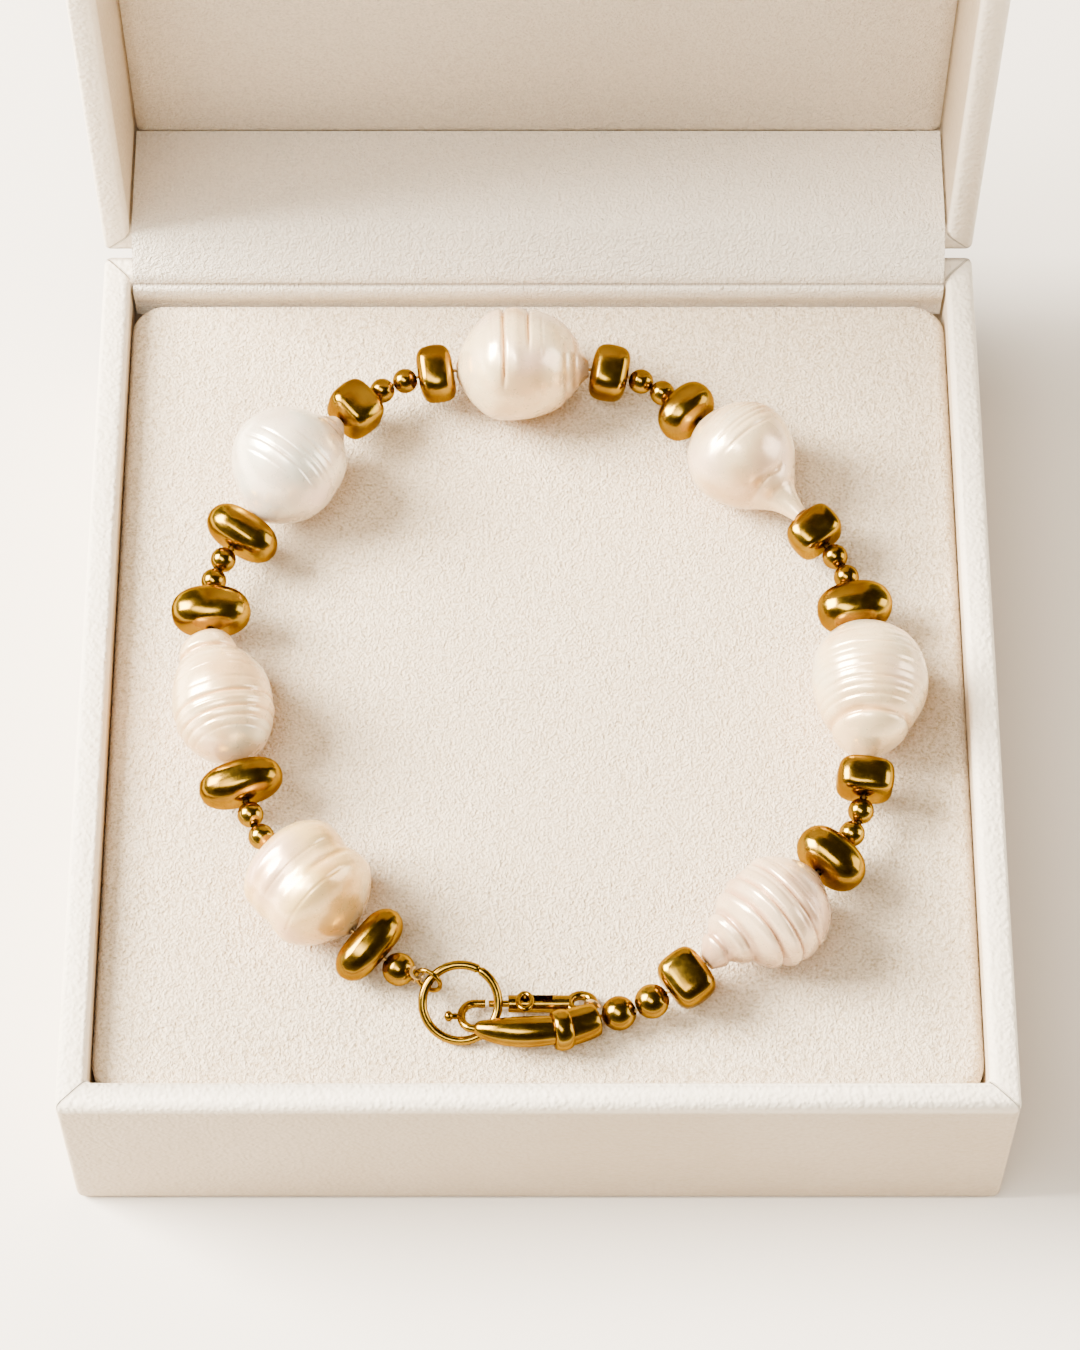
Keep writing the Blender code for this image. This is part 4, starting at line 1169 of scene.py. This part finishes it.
def jump_ring(name, place, size, wire_size, opening):
    """A ring of round wire in the plane of its place, with the fine line where its ends meet."""
    major, minor = (size - wire_size) / 2, wire_size / 2
    ring = primitive(
        name,
        bpy.ops.mesh.primitive_torus_add,
        major_segments=160,
        minor_segments=28,
        major_radius=major,
        minor_radius=minor,
        location=(0, 0, 0),
    )
    cut = Vector((math.cos(opening), math.sin(opening), 0))
    for vertex in ring.data.vertices:
        flat = Vector((vertex.co.x, vertex.co.y, 0))
        core = flat.normalized() * major
        off = (core - cut * major).length
        if off < 3 * RING_CUT:
            vertex.co = core + (vertex.co - core) * (1 - 0.35 * math.exp(-((off / RING_CUT) ** 2)))
    ring.data.transform(place)
    smooth(ring, 60)
    return ring


across = Vector((1, 0, 0))
up = Vector((0, math.cos(RING_TILT), math.sin(RING_TILT)))
facing = across.cross(up)
large_place = Matrix.Translation(RING_PLACE) @ Matrix((across, up, facing)).transposed().to_4x4()
large_ring = jump_ring("large_ring_gold", large_place, LARGE_RING, LARGE_RING_WIRE, math.radians(60))
ring_gold = polished_gold("ring gold", shift=0.7)
dress(large_ring, ring_gold, "case", "polished_gold", "large_jump_ring")

large_radius = (LARGE_RING - LARGE_RING_WIRE) / 2
held = RING_PLACE + large_radius * (across * math.cos(RING_HOLD) + up * math.sin(RING_HOLD))
tangent = (up * math.cos(RING_HOLD) - across * math.sin(RING_HOLD)).normalized()
outward = (held - RING_PLACE).normalized()
normal = (tangent + 0.75 * facing).normalized()
pull = (outward - normal * outward.dot(normal)).normalized()
side = normal.cross(pull)
small_turn = Matrix((pull, side, normal)).transposed().to_4x4()
small_place = Matrix.Translation(held + pull * 0.04 * SMALL_RING) @ small_turn
small_ring = jump_ring("small_ring_gold", small_place, SMALL_RING, SMALL_RING_WIRE, math.radians(200))
dress(small_ring, ring_gold, "case", "polished_gold", "small_jump_ring")


# The clasp: a thick cast limb and a slim sleeve for the bolt, soldered to a collar and a barrel,
# with an eye at the tail and a hook at the nose that ends in a small ball.
CLASP_ROLL = Matrix.Rotation(math.radians(-23.2), 4, "X")
CLASP_PLACE = Matrix.Translation((0.00224, -0.03968, PAD_TOP + 0.00252)) @ CLASP_ROLL
CLASP_LENGTH = 0.0083
CLASP_WIDTH = 0.0036
LIMB_THICKNESS = 0.0023
HOOK_WIRE = 0.0008
COLLAR = 0.0037
EYE = 0.0032
EYE_WIRE = 0.00090
BOLT = 0.00066
BOLT_FIT = 0.00024
TUBE_WALL = 0.00026
THUMB_WIRE = 0.0005
THUMB_LOOP = 0.00108
BOLT_TRAVEL = 0.0019


def drawn(name, points, radii, sides=28, closed=False):
    """A round bar through the points: a circle drawn along them and swelled by the radii."""
    deselect()
    curve = bpy.data.curves.new(name, "CURVE")
    curve.dimensions = "3D"
    curve.bevel_depth = 1.0
    curve.bevel_resolution = sides // 4
    curve.resolution_u = 10
    curve.use_fill_caps = not closed
    spline = curve.splines.new("NURBS")
    spline.points.add(len(points) - 1)
    spline.use_cyclic_u = closed
    spline.use_endpoint_u = not closed
    spline.order_u = 4
    for point, co, radius in zip(spline.points, points, radii):
        point.co = (*co, 1.0)
        point.radius = radius
    bar = bpy.data.objects.new(name, curve)
    bpy.context.scene.collection.objects.link(bar)
    only(bar)
    bpy.ops.object.convert(target="MESH")
    return bpy.context.object


def lathed(name, profile, sides=56, lean=0.0, place=(0, 0, 0)):
    """A solid turned about X from (along, radius) points that start and end on the axis."""
    part = primitive(
        name,
        bpy.ops.mesh.primitive_circle_add,
        vertices=len(profile),
        radius=0.01,
        location=(0, 0, 0),
        fill_type="NOTHING",
    )
    for vertex, (along, radius) in zip(part.data.vertices, profile):
        vertex.co = (along, 0, radius)
    select_where(part, lambda vertex: True, "verts")
    bpy.ops.mesh.spin(steps=sides, angle=math.tau, center=(0, 0, 0), axis=(1, 0, 0), use_auto_merge=True)
    bpy.ops.mesh.select_all(action="SELECT")
    bpy.ops.mesh.remove_doubles(threshold=1e-6)
    bpy.ops.mesh.delete_loose(use_faces=False)
    bpy.ops.mesh.normals_make_consistent(inside=False)
    bpy.ops.object.mode_set(mode="OBJECT")
    part.data.transform(Matrix.Translation(place) @ Matrix.Rotation(math.radians(lean), 4, "Z"))
    return part


def soldered(name, pieces):
    """Joins the pieces into one object and puts it in the clasp's place."""
    deselect()
    for piece in pieces:
        piece.select_set(True)
    bpy.context.view_layer.objects.active = pieces[0]
    bpy.ops.object.join()
    joined = bpy.context.object
    joined.name = name
    joined.data.transform(CLASP_PLACE)
    smooth(joined, 42)
    return joined


nose = -CLASP_LENGTH
limb_line = [
    (-0.06, 0.00, 1.10),
    (0.00, 0.00, 1.14),
    (0.15, -0.02, 1.22),
    (0.30, -0.07, 1.28),
    (0.50, -0.08, 1.28),
    (0.70, -0.06, 1.14),
    (0.84, -0.01, 0.87),
    (0.94, 0.05, 0.70),
    (0.99, 0.08, 0.44),
    (1.00, 0.09, 0.10),
]
limb = drawn(
    "limb",
    [(nose * x, CLASP_WIDTH * y, 0) for x, y, _ in limb_line],
    [LIMB_THICKNESS / 2 * r for _, _, r in limb_line],
    44,
)

hook_half = 0.48 * CLASP_WIDTH
hook_turns = [math.radians(-90 + 180 * step / 12) for step in range(13)]
hook_bend = CLASP_WIDTH - hook_half
hook_points = [
    (nose - math.cos(turn) * CLASP_WIDTH / 3, hook_bend + math.sin(turn) * hook_half, 0)
    for turn in hook_turns
]
hook_tip = [(nose * 0.93, CLASP_WIDTH, 0), (nose * 0.87, CLASP_WIDTH, 0)]
hook_points = [(nose * 0.93, 0.0, 0), *hook_points, *hook_tip]
hook = drawn("hook", hook_points, [HOOK_WIRE / 2] * len(hook_points), 32)

ball_radius = 0.66 * HOOK_WIRE
stub_profile = [(-1.52, 0.0), (-1.45, 0.35), (-1.28, 0.70), (-1.0, 0.95), (-0.75, 1.0)]
stub_profile += [(-0.45, 0.93), (-0.2, 0.72), (0.0, 0.55), (1.0, 0.55), (1.0, 0.0)]
stub = lathed(
    "stub",
    [(x * ball_radius, r * ball_radius) for x, r in stub_profile],
    32,
    0.0,
    (nose - CLASP_WIDTH / 3 - HOOK_WIRE, hook_bend, 0),
)

half_collar = COLLAR / 2
collar_profile = [(-0.42, 0.0), (-0.48, 0.66), (-0.50, 0.80), (-0.46, 0.92), (-0.36, 1.00), (-0.20, 1.055)]
collar_profile += [(0.0, 1.07), (0.20, 1.055), (0.36, 1.00), (0.46, 0.92), (0.50, 0.80), (0.48, 0.66)]
collar_profile += [(0.42, 0.0)]
collar = lathed("collar", [(x * half_collar, r * half_collar) for x, r in collar_profile], 64, 14.0)
barrel_profile = [(0.1, 0.0), (0.1, 0.94), (0.2, 0.95), (0.7, 0.95), (1.2, 0.94), (1.6, 0.90), (1.80, 0.86)]
barrel_profile += [(1.88, 0.82), (1.93, 0.74), (1.95, 0.62), (1.95, 0.0)]
barrel = lathed("barrel", [(x * half_collar, r * half_collar) for x, r in barrel_profile], 64, 24.0)

eye_radius = (EYE - EYE_WIRE) / 2
eye_x = COLLAR / 2
eye = primitive(
    "eye",
    bpy.ops.mesh.primitive_torus_add,
    major_segments=80,
    minor_segments=24,
    major_radius=eye_radius,
    minor_radius=EYE_WIRE / 2,
    location=(eye_x, CLASP_WIDTH, 0),
)

bore = BOLT / 2 + BOLT_FIT
sleeve = bore + TUBE_WALL
tube_mouth = nose * 0.61
tube_back = eye_x - eye_radius
sleeve_profile = [(tube_mouth, bore), (tube_mouth, sleeve - 0.00008), (tube_mouth + 0.00008, sleeve)]
sleeve_profile += [(tube_back, sleeve), (tube_back, 0.0), (tube_back - FIT, 0.0), (tube_back - FIT, bore)]
back_tube = lathed("back_tube", sleeve_profile, 48, 0.0, (0, CLASP_WIDTH, 0))
thumb_x = nose * 0.42
slot_half = THUMB_WIRE / 2 + BOLT_FIT
slot_cutter = primitive(
    "slot_cutter",
    bpy.ops.mesh.primitive_cube_add,
    (BOLT_TRAVEL + 2 * slot_half + 2 * BOLT_FIT, 2 * slot_half, 2 * sleeve),
    size=1,
    location=(thumb_x + BOLT_TRAVEL / 2, CLASP_WIDTH, sleeve),
)
finish_modifier(back_tube, "BOOLEAN", operation="DIFFERENCE", object=slot_cutter)
bpy.data.objects.remove(slot_cutter, do_unlink=True)

clasp_gold = polished_gold("clasp gold", shift=1.3)
clasp = soldered("clasp_gold", [collar, limb, hook, stub, barrel, eye, back_tube])
dress(clasp, clasp_gold, "case", "polished_gold", "clasp_body")

# The bolt slides in the sleeve and closes the clasp against the hook. Its thumb loop stands up
# through the slot and leans over the gap between the sleeve and the limb.
bolt_tip = nose * 0.87 + FIT
bolt_back = tube_back - BOLT_TRAVEL - 2 * FIT
rod_profile = [(bolt_tip, 0.0), (bolt_tip, BOLT / 2 - 0.00008), (bolt_tip + 0.00008, BOLT / 2)]
rod_profile += [(bolt_back, BOLT / 2), (bolt_back, 0.0)]
rod = lathed("rod", rod_profile, 32, 0.0, (0, CLASP_WIDTH, 0))
thumb_height = sleeve + BOLT_FIT + THUMB_WIRE / 2
stem_points = [(thumb_x, CLASP_WIDTH, thumb_height * share) for share in (0.0, 0.5, 1.0)]
stem = drawn("stem", stem_points, [THUMB_WIRE / 2] * 3, 20)
loop_turns = [math.tau * step / 24 for step in range(24)]
loop_points = [
    (
        thumb_x + 0.6 * THUMB_LOOP * math.cos(turn),
        CLASP_WIDTH - THUMB_LOOP + THUMB_LOOP * math.sin(turn),
        thumb_height,
    )
    for turn in loop_turns
]
loop = drawn("loop", loop_points, [THUMB_WIRE / 2] * 24, 24, closed=True)
bolt = soldered("bolt_gold", [rod, stem, loop])
dress(bolt, clasp_gold, "clasp_bolt", "polished_gold", "clasp_bolt")


# The studio: a plain pale floor, a large soft light like a window at the upper left, a broad weak
# light to fill the shadows, and the camera that looks down into the open box.
CAMERA_PLACE = (0.000175, -0.20015, 0.38558)
CAMERA_TILT = 28.636
CAMERA_LENS = 112.48
FLOOR_SIZE = 3.0
LOOK_AT = Vector((0, 0, 0.02))
ROOM_LIGHT = (0.50, 0.45, 0.37)
ROOM_DARK = (0.070, 0.054, 0.036)
DARK_CEILING = (0.10, -0.08, 0.99)

camera_data = bpy.data.cameras.new("camera")
camera_data.lens = CAMERA_LENS
camera_data.sensor_width = 36.0
camera_data.clip_start = 0.01
camera_data.clip_end = 10.0
camera = bpy.data.objects.new("camera", camera_data)
camera.location = CAMERA_PLACE
camera.rotation_euler = (math.radians(CAMERA_TILT), 0, 0)
bpy.context.scene.collection.objects.link(camera)
bpy.context.scene.camera = camera

floor_finish = Finish("pale floor", Roughness=0.6, Specular_IOR_Level=0.3)
floor_tone = floor_finish.noise(9.0, 3.0, 0.5)
floor_finish.feed("Base Color", floor_finish.mix(floor_tone, (0.79, 0.72, 0.63), (0.85, 0.785, 0.70)))
floor = primitive("studio_floor", bpy.ops.mesh.primitive_plane_add, size=FLOOR_SIZE, location=(0, 0, -0.0001))
floor.data.materials.append(floor_finish.material)


def soft_light(name, place, size, power, colour):
    light = bpy.data.lights.new(name, "AREA")
    light.shape = "RECTANGLE"
    light.size, light.size_y = size
    light.energy = power
    light.color = colour
    lamp = bpy.data.objects.new(name, light)
    lamp.location = place
    lamp.rotation_euler = (LOOK_AT - Vector(place)).to_track_quat("-Z", "Y").to_euler()
    bpy.context.scene.collection.objects.link(lamp)


soft_light("window", (-0.93, 0.17, 0.75), (0.62, 0.69), 138.0, (1.0, 0.955, 0.875))
soft_light("front_card", (-0.30, -0.38, 1.15), (0.8, 0.35), 17.0, (1.0, 0.945, 0.860))
soft_light("side_card", (0.85, 0.00, 0.30), (0.5, 0.5), 8.0, (1.0, 0.940, 0.850))

world = bpy.data.worlds.new("studio")
bpy.context.scene.world = world
world.use_nodes = True
room = world.node_tree
background = room.nodes["Background"]
heading = Finish.add(room, "ShaderNodeTexCoord", {}, {}, "Generated")
overhead = Finish.add(
    room, "ShaderNodeVectorMath", {"operation": "DOT_PRODUCT"}, {0: heading, 1: DARK_CEILING}, "Value"
)
shade = Finish.add(
    room,
    "ShaderNodeMapRange",
    {"interpolation_type": "SMOOTHSTEP"},
    {"Value": overhead, "From Min": 0.10, "From Max": 0.55},
)
glow = Finish.add(room, "ShaderNodeMix", {"data_type": "RGBA"}, {0: shade, 6: ROOM_LIGHT, 7: ROOM_DARK}, 2)
room.links.new(glow.socket, background.inputs["Color"])
background.inputs["Strength"].default_value = 1.0

bpy.context.view_layer.update()
